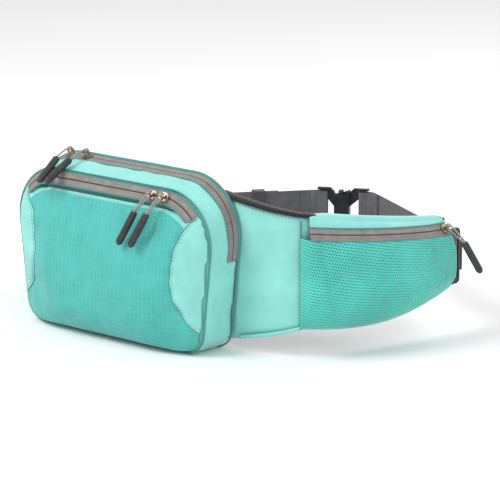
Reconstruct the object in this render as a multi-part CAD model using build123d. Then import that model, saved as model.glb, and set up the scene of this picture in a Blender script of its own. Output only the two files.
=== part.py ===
"""Waist pack with a hip belt: zipped main compartment, zipped front pocket, two padded belt
wings with zipped mesh pockets, and a webbing belt with a side-release buckle.

Millimetres, +Z up, +X to the right of someone looking at the pack's front, which faces -Y.
The origin is the centre of the lumbar pad's contact face, which rests against the wearer.
"""

import os
from math import atan2, cos, hypot, radians, sin, sqrt

from build123d import *

os.makedirs("parts", exist_ok=True)

# ---------------------------------------------------------------- overall sizes
pack_height = 150.0
pack_half_width = 114.5  # at the back, level with the top corners' centres
base_half_width = 104.0
main_depth = 34.0
pocket_depth = 26.0
top_corner_radius = 50.0
bottom_corner_radius = 20.0
top_fall = 9.5  # how much lower the main compartment's front is than its back
side_taper = 3.0

# ---------------------------------------------------------------- soft walls
gap = 0.3  # clearance between neighbouring pieces
main_wall = 2.0
pocket_wall = 1.6
pad_thickness = 12.0
pad_half_width = 87.0
pad_height = 126.0
pad_corner_radius = 26.0
spacer_mesh_thickness = 1.2

# ---------------------------------------------------------------- zips
tape_width = 5.4
tape_thickness = 0.8
zip_gap = 1.2  # between the two tapes, where the sliders' posts run
coil_width = 2.0
coil_height = 1.8
coil_setback = 0.1  # tape's edge to its coil's teeth
main_zip_setback = 7.5  # zip line to the back of the main compartment
main_zip_end_height = 5.0
pocket_zip_end_height = 43.0

# ---------------------------------------------------------------- sliders and pulls
slider_length = 9.6
slider_width = 8.4
slider_plate = 1.3
slider_play = 0.6  # plate to tape, and plate to coil
post_length = 3.2
post_thickness = 0.7
bail_hole_length = 5.0
bail_hole_height = 2.8
bail_bar = 1.3
cord_diameter = 1.5
grip_length = 32.5
grip_diameter = 6.2
cord_seat = 1.0  # how far the cord's ends go into the grip
grip_tilt = 18.0  # degrees that the grip droops below its cord
# A cord's loop in its pull's own frame: X towards the grip, Z away from the pack, and the
# slider's bail bar along Y at the origin.
cord_route = [
    (21.5, 0.0, 0.45),
    (15.5, 0.0, 1.5),
    (5.0, 0.0, 2.3),
    (-2.3, 0.0, 2.25),
    (-2.3, 0.0, -2.25),
    (5.0, 0.0, -2.1),
    (15.0, 0.0, -1.2),
    (21.1, 0.0, -1.1),
]
cord_radii = [5.0, 9.0, 2.0, 2.0, 9.0, 5.0]

# ---------------------------------------------------------------- belt
webbing_width = 38.0
webbing_thickness = 1.5
belt_height = -10.5  # of the webbing's middle
face_thickness = 1.0
foam_thickness = 7.0
lining_thickness = 1.0
binding_reach = 5.0
binding_thickness = 0.8
wing_pocket_wall = 1.0

# Each wing's outer face follows an arc in plan: its centre, radius, and first and last angle.
right_arc = ((-18.0, 145.0), 229.0, -36.6, 0.0)
left_arc = ((80.0, 70.0), 75.6, -34.0, 82.0)
wing_root = (90.0, -10.9)  # tucked behind the main compartment
wing_heights = {"root": (-69.0, 60.0), "waist": (-50.5, 48.0), "end": (-37.0, 28.0)}
waist_share = 0.33  # how far along a wing its waist is
wing_bow = 8.0  # how far the lower edge bows below a straight line, past the waist
wing_pocket_bulge = 12.5  # of the pocket's zip, out from the wing, at mid length
wing_pocket_end_bulge = 7.6
wing_pocket_seam = 1.3  # the pocket's inner edge to the wing's face
stitch_gap = 2.6  # zip tape's edge to the panels sewn beside it
wing_pocket_belly = 5.0  # how much further out the mesh goes below the zip
wing_zip_drop = 7.3  # zip line below the wing's top edge at the wing's end
wing_zip_fall = {"right": 0.095, "left": 0.04}  # for each millimetre along +Y
wing_zip_lean = 38.0  # degrees that the zip band leans back from upright

# ---------------------------------------------------------------- hard belt parts
lock_height = 50.0
lock_thickness = 4.0
lock_bar = 3.4
lock_slot = 7.2
lock_standoff = 5.0  # wing's end to the lock
lock_corner = 4.0
lock_bevel = 0.9
slot_play = 1.6  # the slots are this much taller than the webbing
lip_length = 3.4
lip_thickness = 1.8
keeper_width = 11.0
keeper_wall = 1.2
keeper_play = 0.5
tail_lift = 1.6  # the tail's free rise inside its keeper
buckle_height = 44.0
buckle_thickness = 5.0
buckle_bar = 3.4
buckle_centre = (24.0, 241.0)  # in plan
buckle_turn = 28.0  # degrees from +X of the line through both buckle halves
strap_turn = 11.0  # buckle bar to the bend in its strap
sewn_length = 12.0  # bend to the end of the sewn lap
tail_reach = 76.0

top_half_width = base_half_width + (pack_half_width - base_half_width) * pack_height / (
    pack_height - top_corner_radius
)
back_plane = -pad_thickness
front_plane = back_plane - main_depth
base = -pack_height / 2
top = pack_height / 2
band_half = zip_gap / 2 + tape_width


def save(name, shape):
    """Write one named piece."""
    export_step(shape, f"parts/{name}.step")


# ================================================================ the pack's cross-sections
class Section:
    """A rounded trapezium across the pack, upright, at one distance from the wearer."""

    def __init__(self, y, half_top, half_base, top, base, top_radius, base_radius):
        self.values = (y, half_top, half_base, top, base, top_radius, base_radius)

    def face(self, inset=0.0):
        y, half_top, half_base, top, base, top_radius, base_radius = self.values
        outline = Polygon(
            (-half_base + inset, base + inset),
            (half_base - inset, base + inset),
            (half_top - inset, top - inset),
            (-half_top + inset, top - inset),
            align=None,
        )
        corners = outline.vertices().sort_by(Axis.Y)
        outline = fillet(corners[2:], top_radius - inset)
        outline = fillet(outline.vertices().sort_by(Axis.Y)[:2], base_radius - inset)
        return Plane((0, y, 0), x_dir=(1, 0, 0), z_dir=(0, -1, 0)) * outline

    def toward(self, other, y):
        """The section at y on the straight walls between this one and another."""
        share = (y - self.values[0]) / (other.values[0] - self.values[0])
        return Section(*(a + share * (b - a) for a, b in zip(self.values, other.values)))


def walls(sections, inset=0.0):
    """A solid block through sections, straight between each and the next."""
    block = None
    for near, far in zip(sections, sections[1:]):
        piece = loft([near.face(inset), far.face(inset)], ruled=True)
        block = piece if block is None else block + piece
    return block


def ring(near, far, y_near, y_far, outer_inset, inner_inset):
    """A band round the pack between two distances, with walls between two insets."""
    margin = 1.0 if y_near > y_far else -1.0
    outer = walls([near.toward(far, y_near), near.toward(far, y_far)], outer_inset)
    inner = walls(
        [near.toward(far, y_near + margin), near.toward(far, y_far - margin)], inner_inset
    )
    return outer - inner


def stack(faces):
    """A solid through faces, straight between each and the next."""
    block = None
    for near, far in zip(faces, faces[1:]):
        piece = loft([near, far], ruled=True)
        block = piece if block is None else block + piece
    return block


def strip_round(near, far, y_near, y_far, outer_inset, inner_inset, fall, run):
    """A strip round the pack whose two edges are square to a wall that falls over a run."""
    if y_near < y_far:
        y_near, y_far = y_far, y_near
    shift = fall * run / (fall**2 + run**2)  # of a square edge, for each mm of inset
    outer_shift, inner_shift = (outer_inset - gap) * shift, (inner_inset - gap) * shift
    outer_near = near.toward(far, y_near + outer_shift).face(outer_inset)
    outer_far = near.toward(far, y_far + outer_shift).face(outer_inset)
    inner_near = near.toward(far, y_near + inner_shift).face(inner_inset)
    inner_far = near.toward(far, y_far + inner_shift).face(inner_inset)
    return stack([outer_far, outer_near, inner_near]) - stack([outer_far, inner_far, inner_near])


def above(height):
    """Everything higher than a height, over the whole pack."""
    size = 2 * pack_half_width + pack_height
    return Pos(0, 0, height + size / 2) * Box(size, size, size)


main_back = Section(
    back_plane, top_half_width, base_half_width, top, base,
    top_corner_radius, bottom_corner_radius,
)
main_front = Section(
    front_plane, top_half_width - side_taper, base_half_width - side_taper,
    top - top_fall, base, top_corner_radius - side_taper, bottom_corner_radius,
)

# The pocket's sections run from its seam on the main compartment out to its flat front.
seam_plane = front_plane - gap
band_rise = 5.2  # half of how far the pocket's slanted zip band climbs
band_run = 3.0  # half of how far it leans out
pocket_zip_plane = seam_plane - 3.0 - band_run
pocket_front_plane = seam_plane - pocket_depth
pocket_half = top_half_width - side_taper - 1.0
pocket_base_half = base_half_width - side_taper - 1.0
pocket_top = top - top_fall - gap
pocket_sections = [
    Section(seam_plane, pocket_half, pocket_base_half, pocket_top, base + 1, 45, 20),
    Section(
        pocket_zip_plane + band_run, pocket_half - 1, pocket_base_half - 1,
        pocket_top - 0.4, base + 1, 45, 20,
    ),
    Section(
        pocket_zip_plane - band_run, pocket_half - 8, pocket_base_half - 7,
        pocket_top - 0.4 - 2 * band_rise, base + 2.5, 42, 22,
    ),
    Section(
        seam_plane - 0.6 * pocket_depth, pocket_half - 26, pocket_base_half - 22,
        pocket_top - 38, base + 6, 36, 26,
    ),
    Section(
        pocket_front_plane, pocket_half - 54, pocket_base_half - 46,
        pocket_top - 74, base + 20, 20, 20,
    ),
]


# ================================================================ main compartment and pad
def zip_slot(near, far, zip_plane, wall, end_height):
    """The slot through a wall that a zip fills, round the top and down to its ends."""
    reach = band_half + gap
    slot = ring(near, far, zip_plane + reach, zip_plane - reach, -1.0, wall + 1.0)
    return slot & above(end_height - gap)


def stringer(near, far, zip_plane, side, end_height):
    """One zip tape with its coil, on the wearer's side (+1) or the front side (-1)."""
    inner_edge = zip_plane + side * zip_gap / 2
    outer_edge = zip_plane + side * band_half
    coil_edge = inner_edge + side * coil_width
    tape = strip_round(
        near, far, inner_edge, outer_edge, gap, gap + tape_thickness, top_fall, main_depth
    )
    coil = strip_round(
        near, far, inner_edge + side * coil_setback, coil_edge, gap + tape_thickness / 2,
        gap + tape_thickness + coil_height, top_fall, main_depth,
    )
    return (tape + coil) & above(end_height)


def make_pad():
    foam_depth = pad_thickness - spacer_mesh_thickness - 2 * gap
    outline = RectangleRounded(2 * pad_half_width, pad_height, pad_corner_radius)
    foam_plane = Plane((0, -spacer_mesh_thickness - gap, 0), x_dir=(1, 0, 0), z_dir=(0, -1, 0))
    save("lumbar_foam", extrude(foam_plane * outline, foam_depth))
    cover_plane = Plane((0, 0, 0), x_dir=(1, 0, 0), z_dir=(0, -1, 0))
    save("lumbar_mesh", extrude(cover_plane * outline, spacer_mesh_thickness))


main_zip_plane = back_plane - main_zip_setback


def make_main_compartment():
    inner = [
        main_back.toward(main_front, back_plane - main_wall),
        main_back.toward(main_front, front_plane + main_wall),
    ]
    shell = walls([main_back, main_front]) - walls(inner, main_wall)
    shell -= zip_slot(main_back, main_front, main_zip_plane, main_wall, main_zip_end_height)
    save("main_compartment", shell)
    for name, side in (("rear", 1), ("front", -1)):
        piece = stringer(main_back, main_front, main_zip_plane, side, main_zip_end_height)
        save(f"main_zip_{name}", piece)


# ================================================================ front pocket
crescent_width = 24.0
crescent_top = 46.0
crescent_base = -59.0
crescent_inner = 77.0


def centre_panel_region(grow=0.0):
    """The centre panel's outline seen from the front, between its two side seams."""
    depth_of_cut = 3 * pocket_depth
    seam = [
        (crescent_inner + crescent_width, crescent_top + 2),
        (crescent_inner + 8, crescent_top - 14),
        (crescent_inner + 3, crescent_top - 36),
        (crescent_inner, crescent_top - 59),
        (crescent_inner + 6, crescent_base + 24),
        (crescent_inner + crescent_width + 4, crescent_base),
    ]
    right = Spline(*((x + grow, z) for x, z in seam))
    left = Spline(*((-x - grow, z) for x, z in reversed(seam)))
    lower_right, lower_left = right @ 1, left @ 0
    upper_right, upper_left = right @ 0, left @ 1
    floor_edge = Polyline(
        lower_right, (lower_right.X, 2 * base), (lower_left.X, 2 * base), lower_left
    )
    roof_edge = Polyline(upper_left, (upper_left.X, 2 * top), (upper_right.X, 2 * top), upper_right)
    outline = make_face(Curve() + [right, floor_edge, left, roof_edge])
    front = Plane((0, front_plane, 0), x_dir=(1, 0, 0), z_dir=(0, -1, 0))
    return extrude(front * outline, depth_of_cut)


def make_front_pocket():
    seam_section, band_back, band_front = pocket_sections[:3]
    inner = [pocket_sections[0].toward(pocket_sections[1], seam_plane + 1)]
    inner += pocket_sections[1:-1]
    front_inner = pocket_sections[-2].toward(pocket_sections[-1], pocket_front_plane + pocket_wall)
    shell = walls(pocket_sections) - walls(inner + [front_inner], pocket_wall)
    reach = 0.5 + gap / band_run  # the slot's share of the band's own depth
    slot = ring(
        band_back, band_front, pocket_zip_plane + 2 * reach * band_run + tape_thickness,
        pocket_zip_plane - 2 * reach * band_run, -1.5, pocket_wall + 1.5,
    )
    shell -= slot & above(pocket_zip_end_height - gap)
    centre = shell & centre_panel_region()
    save("front_pocket_panel", centre.solids().sort_by(SortBy.VOLUME)[-1])
    sides = (shell - centre_panel_region(gap)).solids().sort_by(SortBy.VOLUME)[-2:]
    for solid in sides:
        side = "right" if solid.center().X > 0 else "left"
        save(f"pocket_crescent_{side}", solid)
    # Insets are measured across the pack, not across the slanted band.
    slope = hypot(band_rise, band_run) / band_run
    coil_inset = gap + (tape_thickness + coil_height) * slope
    for name, side in (("upper", 1), ("lower", -1)):
        near_edge = pocket_zip_plane + side * zip_gap / 2 / slope
        far_edge = pocket_zip_plane + side * band_half / slope
        coil_edge = pocket_zip_plane + side * (zip_gap / 2 + coil_width) / slope
        tape = strip_round(
            band_back, band_front, near_edge, far_edge, gap, gap + tape_thickness * slope,
            band_rise, band_run,
        )
        coil = strip_round(
            band_back, band_front, near_edge + side * coil_setback, coil_edge, gap + tape_thickness * slope / 2,
            coil_inset, band_rise, band_run,
        )
        save(f"front_zip_{name}", (tape + coil) & above(pocket_zip_end_height))


# ================================================================ sliders and pulls
bail_length = bail_hole_length + 2 * bail_bar + 0.4
bail_centre = slider_play + slider_plate + bail_hole_height + bail_bar / 2
lower_plate_top = -(tape_thickness + coil_height + slider_play)


def slider():
    """A zip slider: X along the zip, Z out of the pack, origin on the tapes' outer face."""
    plate = extrude(
        Pos(0, 0, slider_play)
        * chamfer(Rectangle(slider_length, slider_width).vertices(), slider_width / 4),
        slider_plate,
    )
    plate = fillet(plate.faces().sort_by(Axis.Z)[-1].edges(), slider_plate / 3)
    post_height = slider_play - lower_plate_top + slider_plate
    post = Pos(0, 0, lower_plate_top - slider_plate / 2 + post_height / 2) * Box(
        post_length, post_thickness, post_height
    )
    lower = Pos(0, 0, lower_plate_top - slider_plate / 2) * Box(
        slider_length - 1, slider_width - 1, slider_plate
    )
    bail_height = bail_centre + bail_bar / 2 - slider_play - slider_plate / 2
    bail = Pos(0, 0, slider_play + slider_plate / 2 + bail_height / 2) * Box(
        bail_length, bail_bar, bail_height
    )
    bail = fillet(bail.faces().sort_by(Axis.Z)[-1].edges().filter_by(Axis.Y), bail_bar * 0.9)
    hole = Pos(0, 0, bail_centre - bail_bar / 2 - bail_hole_height / 2) * Box(
        bail_hole_length, 2 * bail_bar, bail_hole_height
    )
    return plate + post + lower + (bail - hole)


def cord():
    """A pull's cord: out of the grip, through the slider's bail and back into the grip."""
    path = FilletPolyline(*cord_route, radius=cord_radii)
    start = Plane(origin=path @ 0, z_dir=path % 0)
    return sweep(start * Circle(cord_diameter / 2), path=path)


def grip():
    """The moulded grip that both ends of the cord go into, with its mouth across X."""
    mouth = (cord_route[0][0] + cord_route[-1][0]) / 2
    radius = grip_diameter / 2
    neck = radius * 0.78
    profile = Polyline(
        (0, 0), (0, neck), (1.5, radius), (grip_length - 2.5, radius),
        (grip_length, radius * 0.62), (grip_length, 0), close=True,
    )
    body = revolve(make_face(profile), Axis.X)
    tilted = Pos(mouth - cord_seat, 0, -0.35) * Rot(0, grip_tilt, 0) * body
    # The cord's two ends seat in sockets in the mouth.
    for point, tangent in ((0, 1), (1, -1)):
        path = FilletPolyline(*cord_route, radius=cord_radii)
        reach = Plane(origin=path @ point, z_dir=(path % point) * tangent)
        socket = reach * Cylinder(
            cord_diameter / 2, 8, align=(Align.CENTER, Align.CENTER, Align.MIN)
        )
        tilted -= socket
    return tilted


# ================================================================ wings
def thicken(points, thickness):
    """A closed strip: the points, and back along them a thickness to the left."""
    back = []
    for i, (x, z) in enumerate(points):
        before = points[max(i - 1, 0)]
        after = points[min(i + 1, len(points) - 1)]
        normals = []
        for a, b in ((before, (x, z)), ((x, z), after)):
            run, rise = b[0] - a[0], b[1] - a[1]
            size = hypot(run, rise)
            if size > 0:
                normals.append((-rise / size, run / size))
        nx = sum(n[0] for n in normals) / len(normals)
        nz = sum(n[1] for n in normals) / len(normals)
        scale = thickness / (nx * nx + nz * nz)
        back.append((x + nx * scale, z + nz * scale))
    return list(points) + back[::-1]


class Wing:
    """One belt wing. It is worked out as a right wing; a left one is then mirrored in X."""

    def __init__(self, side, arc):
        self.side = side
        self.zip_fall = wing_zip_fall["right" if side > 0 else "left"]
        (self.cx, self.cy), self.radius, first, last = arc
        self.first, self.last = radians(first), radians(last)
        self.find_zip_arc()

    def on_arc(self, angle, out=0.0):
        """A point in plan at an angle on the wing's arc, moved outwards."""
        reach = self.radius + out
        return (self.cx + reach * cos(angle), self.cy + reach * sin(angle))

    def find_zip_arc(self):
        """The circle through the pocket zip's two ends and its middle."""
        start = self.on_arc(self.first + 4 / self.radius, wing_pocket_end_bulge)
        end = self.on_arc(self.last - 3 / self.radius, wing_pocket_end_bulge)
        middle = self.on_arc((self.first + self.last) / 2, wing_pocket_bulge)
        circle = Edge.make_three_point_arc(start, middle, end)
        self.zip_x, self.zip_y = circle.arc_center.X, circle.arc_center.Y
        self.zip_radius = circle.radius
        self.zip_first = atan2(start[1] - self.zip_y, start[0] - self.zip_x)
        self.zip_last = atan2(end[1] - self.zip_y, end[0] - self.zip_x)
        self.zip_end_y = end[1]

    def height(self, share):
        """The bottom and top edges' heights, from 0 at the pack to 1 at the wing's end."""
        if share < waist_share:
            near, far, part = "root", "waist", share / waist_share
        else:
            near, far, part = "waist", "end", (share - waist_share) / (1 - waist_share)
        low, high = (a + part * (b - a) for a, b in zip(wing_heights[near], wing_heights[far]))
        if share > waist_share:
            low -= wing_bow * sin(radians(180) * part)
        return low, high

    def arc_share(self, angle):
        """How far along the whole wing an angle on its arc is."""
        return waist_share + (1 - waist_share) * (angle - self.first) / (self.last - self.first)

    def mirrored(self, x, y, z):
        return (self.side * x, y, z)

    def stations(self):
        """Places along the wing: a plan point, the outward direction, and the share."""
        places = []
        start = self.on_arc(self.first)
        size = hypot(start[0] - wing_root[0], start[1] - wing_root[1])
        heading = (-sin(self.first), cos(self.first))
        ends = (wing_root, (size, 0), start, (size * heading[0], size * heading[1]))
        lead_steps = 4
        for i in range(lead_steps):
            t = i / lead_steps
            place = (2 * t**3 - 3 * t**2 + 1, t**3 - 2 * t**2 + t, 3 * t**2 - 2 * t**3, t**3 - t**2)
            slope = (6 * t**2 - 6 * t, 3 * t**2 - 4 * t + 1, 6 * t - 6 * t**2, 3 * t**2 - 2 * t)
            x, y = (sum(w * end[axis] for w, end in zip(place, ends)) for axis in (0, 1))
            dx, dy = (sum(w * end[axis] for w, end in zip(slope, ends)) for axis in (0, 1))
            length = hypot(dx, dy)
            places.append(((x, y), (dy / length, -dx / length), waist_share * t))
        steps = 12
        for i in range(steps + 1):
            angle = self.first + (self.last - self.first) * i / steps
            places.append((self.on_arc(angle), (cos(angle), sin(angle)), self.arc_share(angle)))
        return places

    def layer(self, profile):
        """A strip along the wing: profile(bottom, top) gives its (out, height) outline."""
        sections = []
        for (x, y), (nx, ny), share in self.stations():
            outline = profile(*self.height(share))
            corners = [self.mirrored(x + nx * u, y + ny * u, z) for u, z in outline]
            sections.append(make_face(Polyline(*corners, close=True)))
        return loft(sections, ruled=True)

    def sheet(self, name, outside, thickness, margin=0.0):
        def outline(low, high):
            low, high = low + margin, high - margin
            inside = outside - thickness
            return [(outside, low), (outside, high), (inside, high), (inside, low)]

        save(name, self.layer(outline))

    def make_panels(self, suffix):
        depth = face_thickness + foam_thickness + lining_thickness + 2 * gap
        self.sheet(f"wing_face_{suffix}", 0, face_thickness)
        self.sheet(f"wing_foam_{suffix}", -face_thickness - gap, foam_thickness, 1.5)
        self.sheet(f"wing_lining_{suffix}", lining_thickness - depth, lining_thickness)

        def binding(low, high):
            out, inside = gap, -depth - gap
            wall, foot, crown = binding_thickness, high - binding_reach, high + gap
            return [
                (out, foot), (out + wall, foot), (out + wall, crown + wall),
                (inside - wall, crown + wall), (inside - wall, foot), (inside, foot),
                (inside, crown), (out, crown),
            ]

        save(f"wing_binding_{suffix}", self.layer(binding))

    # ---- the mesh pocket, across planes through its zip arc's centre
    def wing_reach(self, angle):
        """How far the wing's face is from the zip arc's centre, at an angle."""
        dx, dy = cos(angle), sin(angle)
        ox, oy = self.zip_x - self.cx, self.zip_y - self.cy
        along = ox * dx + oy * dy
        return -along + sqrt(along**2 - ox**2 - oy**2 + self.radius**2)

    def zip_height(self, y):
        end_top = wing_heights["end"][1]
        return end_top - wing_zip_drop + self.zip_fall * (self.zip_end_y - y)

    def pocket_stations(self, close_ends):
        """Angles through the zip arc, with one more past each end where the pocket closes."""
        steps = 16
        span = self.zip_last - self.zip_first
        angles = [(self.zip_first + span * i / steps, 1.0) for i in range(steps + 1)]
        if close_ends:
            shut = 8.0 / self.zip_radius
            angles = [(self.zip_first - shut, 0.0)] + angles + [(self.zip_last + shut / 4, 0.0)]
        return angles

    def pocket_piece(self, outline, close_ends=False):
        sections = []
        for angle, open_share in self.pocket_stations(close_ends):
            reach = self.wing_reach(angle)
            wing_angle = atan2(
                self.zip_y + reach * sin(angle) - self.cy,
                self.zip_x + reach * cos(angle) - self.cx,
            )
            low, high = self.height(min(max(self.arc_share(wing_angle), 0.3), 1.0))
            seam = reach + wing_pocket_seam
            zip_reach = self.zip_radius if open_share else seam + 2.0
            zip_height = self.zip_height(self.zip_y + self.zip_radius * sin(angle))
            points = outline(seam, zip_reach, zip_height, low, high, open_share)
            corners = [
                self.mirrored(self.zip_x + r * cos(angle), self.zip_y + r * sin(angle), z)
                for r, z in points
            ]
            sections.append(make_face(Polyline(*corners, close=True)))
        return loft(sections, ruled=True)

    def make_pocket(self, suffix):
        lean = radians(wing_zip_lean)
        across = (sin(lean), -cos(lean))  # down and out along the zip band
        outwards = (cos(lean), sin(lean))

        def on_band(zip_reach, zip_height, along, out, open_share=1.0):
            spread = open_share if open_share else 0.3
            return (
                zip_reach + (across[0] * along + outwards[0] * out) * spread,
                zip_height + across[1] * along + outwards[1] * out * spread,
            )

        def top_strip(seam, zip_reach, zip_height, low, high, open_share):
            edge = on_band(zip_reach, zip_height, -band_half - stitch_gap, 0, open_share)
            edge = (max(edge[0], seam + wing_pocket_wall), edge[1])
            return thicken([edge, (seam + 0.9, high - 1)], wing_pocket_wall)

        def mesh(seam, zip_reach, zip_height, low, high, open_share):
            edge = on_band(zip_reach, zip_height, band_half + stitch_gap / 2, 0, open_share)
            belly = edge[0] + wing_pocket_belly * open_share
            tall = edge[1] - low
            points = [
                (seam + 0.2, low + 1),
                (seam + 0.55 * (belly - seam) + 0.8, low + 0.12 * tall),
                (belly, low + 0.35 * tall),
                (belly, low + 0.7 * tall),
                edge,
            ]
            return thicken(points, wing_pocket_wall)

        save(f"wing_pocket_top_{suffix}", self.pocket_piece(top_strip))
        save(f"wing_pocket_mesh_{suffix}", self.pocket_piece(mesh, close_ends=True))
        for name, side in (("upper", -1), ("lower", 1)):

            def tape(seam, zip_reach, zip_height, low, high, open_share):
                half = zip_gap / 2
                deep = -tape_thickness - coil_height
                shape = [
                    (half, 0), (band_half, 0), (band_half, -tape_thickness),
                    (half + coil_width, -tape_thickness), (half + coil_width, deep), (half, deep),
                ]
                return [on_band(zip_reach, zip_height, side * a, out) for a, out in shape]

            save(f"wing_zip_{name}_{suffix}", self.pocket_piece(tape))

    def zip_frame(self, back):
        """The slider's frame on the zip, a distance back from the zip's far end."""
        angle = self.zip_last - back / self.zip_radius
        y = self.zip_y + self.zip_radius * sin(angle)
        lean = radians(wing_zip_lean)
        origin = self.mirrored(
            self.zip_x + self.zip_radius * cos(angle), y, self.zip_height(y)
        )
        out = (self.side * cos(lean) * cos(angle), cos(lean) * sin(angle), sin(lean))
        along = (self.side * -sin(angle), cos(angle), -self.zip_fall)
        return Plane(origin=origin, x_dir=along, z_dir=out)


# ================================================================ belt hardware
def ribbon(points, radii, width=webbing_width, thickness=webbing_thickness):
    """Webbing on edge: a line in plan with rounded turns, as tall as the webbing is wide."""
    line = FilletPolyline(*points, radius=radii)
    return extrude(Pos(0, 0, belt_height - width / 2) * trace(line, thickness), width)


class Lock:
    """A ladder lock at a wing's end: X onwards along the belt, Y outwards, both in plan."""

    length = 3 * lock_bar + 2 * lock_slot

    def __init__(self, side, wing):
        self.side, self.wing = side, wing
        angle = wing.last
        end = wing.on_arc(angle, -face_thickness - gap - foam_thickness / 2)
        self.heading = (-sin(angle), cos(angle))
        self.out = (cos(angle), sin(angle))
        self.origin = (
            end[0] + self.heading[0] * lock_standoff, end[1] + self.heading[1] * lock_standoff
        )

    def plan(self, x, y):
        """A plan point from the lock's own frame."""
        return (
            self.side * (self.origin[0] + self.heading[0] * x + self.out[0] * y),
            self.origin[1] + self.heading[1] * x + self.out[1] * y,
        )

    def frame(self):
        x, y = self.plan(0, 0)
        along = (self.side * self.heading[0], self.heading[1], 0)
        return Plane(origin=(x, y, belt_height), x_dir=along, z_dir=(
            self.side * self.out[0], self.out[1], 0))

    def body(self):
        """A frame with three bars and two slots; the last bar has a lifting lip."""
        outline = fillet(
            (Pos(self.length / 2, 0) * Rectangle(self.length, lock_height)).vertices(), lock_corner
        )
        slot_height = webbing_width + slot_play
        for i in range(2):
            middle = lock_bar + lock_slot / 2 + i * (lock_bar + lock_slot)
            slot = Pos(middle, 0) * Rectangle(lock_slot, slot_height)
            outline -= fillet(slot.vertices(), 1.2)
        plate = Pos(0, 0, -lock_thickness / 2) * extrude(outline, lock_thickness)
        plate = chamfer(plate.faces().sort_by(Axis.Z)[-1].outer_wire().edges(), lock_bevel)
        plate = chamfer(plate.faces().sort_by(Axis.Z)[0].outer_wire().edges(), lock_bevel)
        lip = Pos(self.length + 1.2, 0, lip_thickness / 2) * Box(
            lip_length, webbing_width * 0.72, lip_thickness
        )
        lip = fillet(lip.edges().filter_by(Axis.Z), 1.2)
        return self.frame() * (plate + lip)

    def loop(self):
        """The webbing that ties the lock's first bar to the wing, sewn behind its lining."""
        half = lock_thickness / 2 + gap + webbing_thickness / 2
        depth = face_thickness + foam_thickness + lining_thickness + 3 * gap
        behind = -depth - gap - webbing_thickness / 2
        turn = lock_bar + gap + webbing_thickness / 2
        points = []
        for back in (18, 10, 2):
            x, y = self.wing.on_arc(self.wing.last - back / self.wing.radius, behind)
            points.append((self.side * x, y))
        points += [self.plan(turn, -half), self.plan(turn, half), self.plan(-3.2, half)]
        return ribbon(points, [6, 3, 1.6, 1.6], width=webbing_width - 1)


class Strap:
    """One side's webbing: sewn round a buckle bar, through the lock, and back as a tail.

    onward points from the buckle's bar away from the buckle's middle. weave is -1 where the
    strap meets its lock from the wearer's side, and 1 from outside.
    """

    def __init__(self, lock, bar, onward, weave):
        self.lock, self.weave, self.bar, self.onward = lock, weave, bar, onward
        self.slots = [lock_bar + lock_slot / 2, 2 * lock_bar + 1.5 * lock_slot]
        start = lock.plan(self.slots[1], 0)
        turn = self.by_bar(strap_turn, 0)
        self.size = hypot(turn[0] - start[0], turn[1] - start[1])
        self.run = ((turn[0] - start[0]) / self.size, (turn[1] - start[1]) / self.size)
        side = 1 if self.run[0] < 0 else -1
        self.inwards = (-self.run[1] * side, self.run[0] * side)

    def by_bar(self, along, inwards):
        """A plan point from the buckle's bar, along the buckle and towards the wearer."""
        side = 1 if self.onward[0] > 0 else -1
        return (
            self.bar[0] + self.onward[0] * along + self.onward[1] * side * inwards,
            self.bar[1] + self.onward[1] * along - self.onward[0] * side * inwards,
        )

    def beside(self, along, inwards=0.0):
        """A plan point along the straight run from the lock's second slot to the buckle."""
        x, y = self.lock.plan(self.slots[1], 0)
        return (
            x + self.run[0] * along + self.inwards[0] * inwards,
            y + self.run[1] * along + self.inwards[1] * inwards,
        )

    def body(self):
        wrap = buckle_bar / 2 + gap + webbing_thickness / 2
        over = (lock_thickness / 2 + gap + webbing_thickness / 2) * self.weave
        clear = (webbing_thickness + gap) * -self.weave
        lap = webbing_thickness + gap
        first, second = self.slots
        points = [
            self.beside(self.size - sewn_length, lap),
            self.by_bar(strap_turn - lap / 4, lap),
            self.by_bar(4.2, wrap),
            self.by_bar(-wrap, wrap),
            self.by_bar(-wrap, -wrap),
            self.by_bar(4.2, -wrap),
            self.by_bar(strap_turn, 0),
            self.beside(14, 0),
            self.lock.plan(second, over + self.weave),
            self.lock.plan(second, -over),
            self.lock.plan(first, -over),
            self.lock.plan(first, over + 2.2 * self.weave),
            self.beside(30, 2 * clear),
            self.beside(tail_reach, 2 * clear),
        ]
        radii = [8, 4, 1.2, 1.2, 4, 8 + lap, 4, 1.6, 1.6, 1.6, 1.6, 12]
        return ribbon(points, radii)

    def keeper(self, along):
        """A sliding loop of elastic round the strap and its tail."""
        tall = webbing_width + 2 * keeper_play
        x, y = self.beside(along, -self.weave * (webbing_thickness + gap))
        plane = Plane(origin=(x, y, belt_height), x_dir=(*self.inwards, 0), z_dir=(*self.run, 0))
        deep = 3 * webbing_thickness + 2 * gap + 2 * keeper_play + tail_lift
        outer = fillet(Rectangle(deep + 2 * keeper_wall, tall + 2 * keeper_wall).vertices(), 1.4)
        inner = Rectangle(deep, tall)
        return plane * Pos(0, 0, -keeper_width / 2) * extrude(outer - inner, keeper_width)


# ================================================================ the sliders' places
main_slider_x = -54.0
main_corner_turn = 9.2  # degrees round the top left corner
front_slider_x = 52.0
front_corner_turn = 3.6  # degrees round the top right corner
wing_slider_setback = 7.0  # from the pocket zip's far end


def top_frame(near, far, zip_plane, x, fall, depth):
    """A slider's frame on the straight top run of a zip."""
    section = near.toward(far, zip_plane)
    size = hypot(fall, depth)
    return Plane(
        origin=(x, zip_plane, section.values[3] - gap), x_dir=(1, 0, 0), z_dir=(0, -fall / size, depth / size)
    )


def corner_centre(section):
    """The centre, in X and Z, of a section's right top corner."""
    y, half_top, half_base, top, base, radius = section.values[:6]
    lean = (half_top - half_base) / (top - base)
    return half_top - radius * lean - radius * sqrt(1 + lean**2), top - radius


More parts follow.
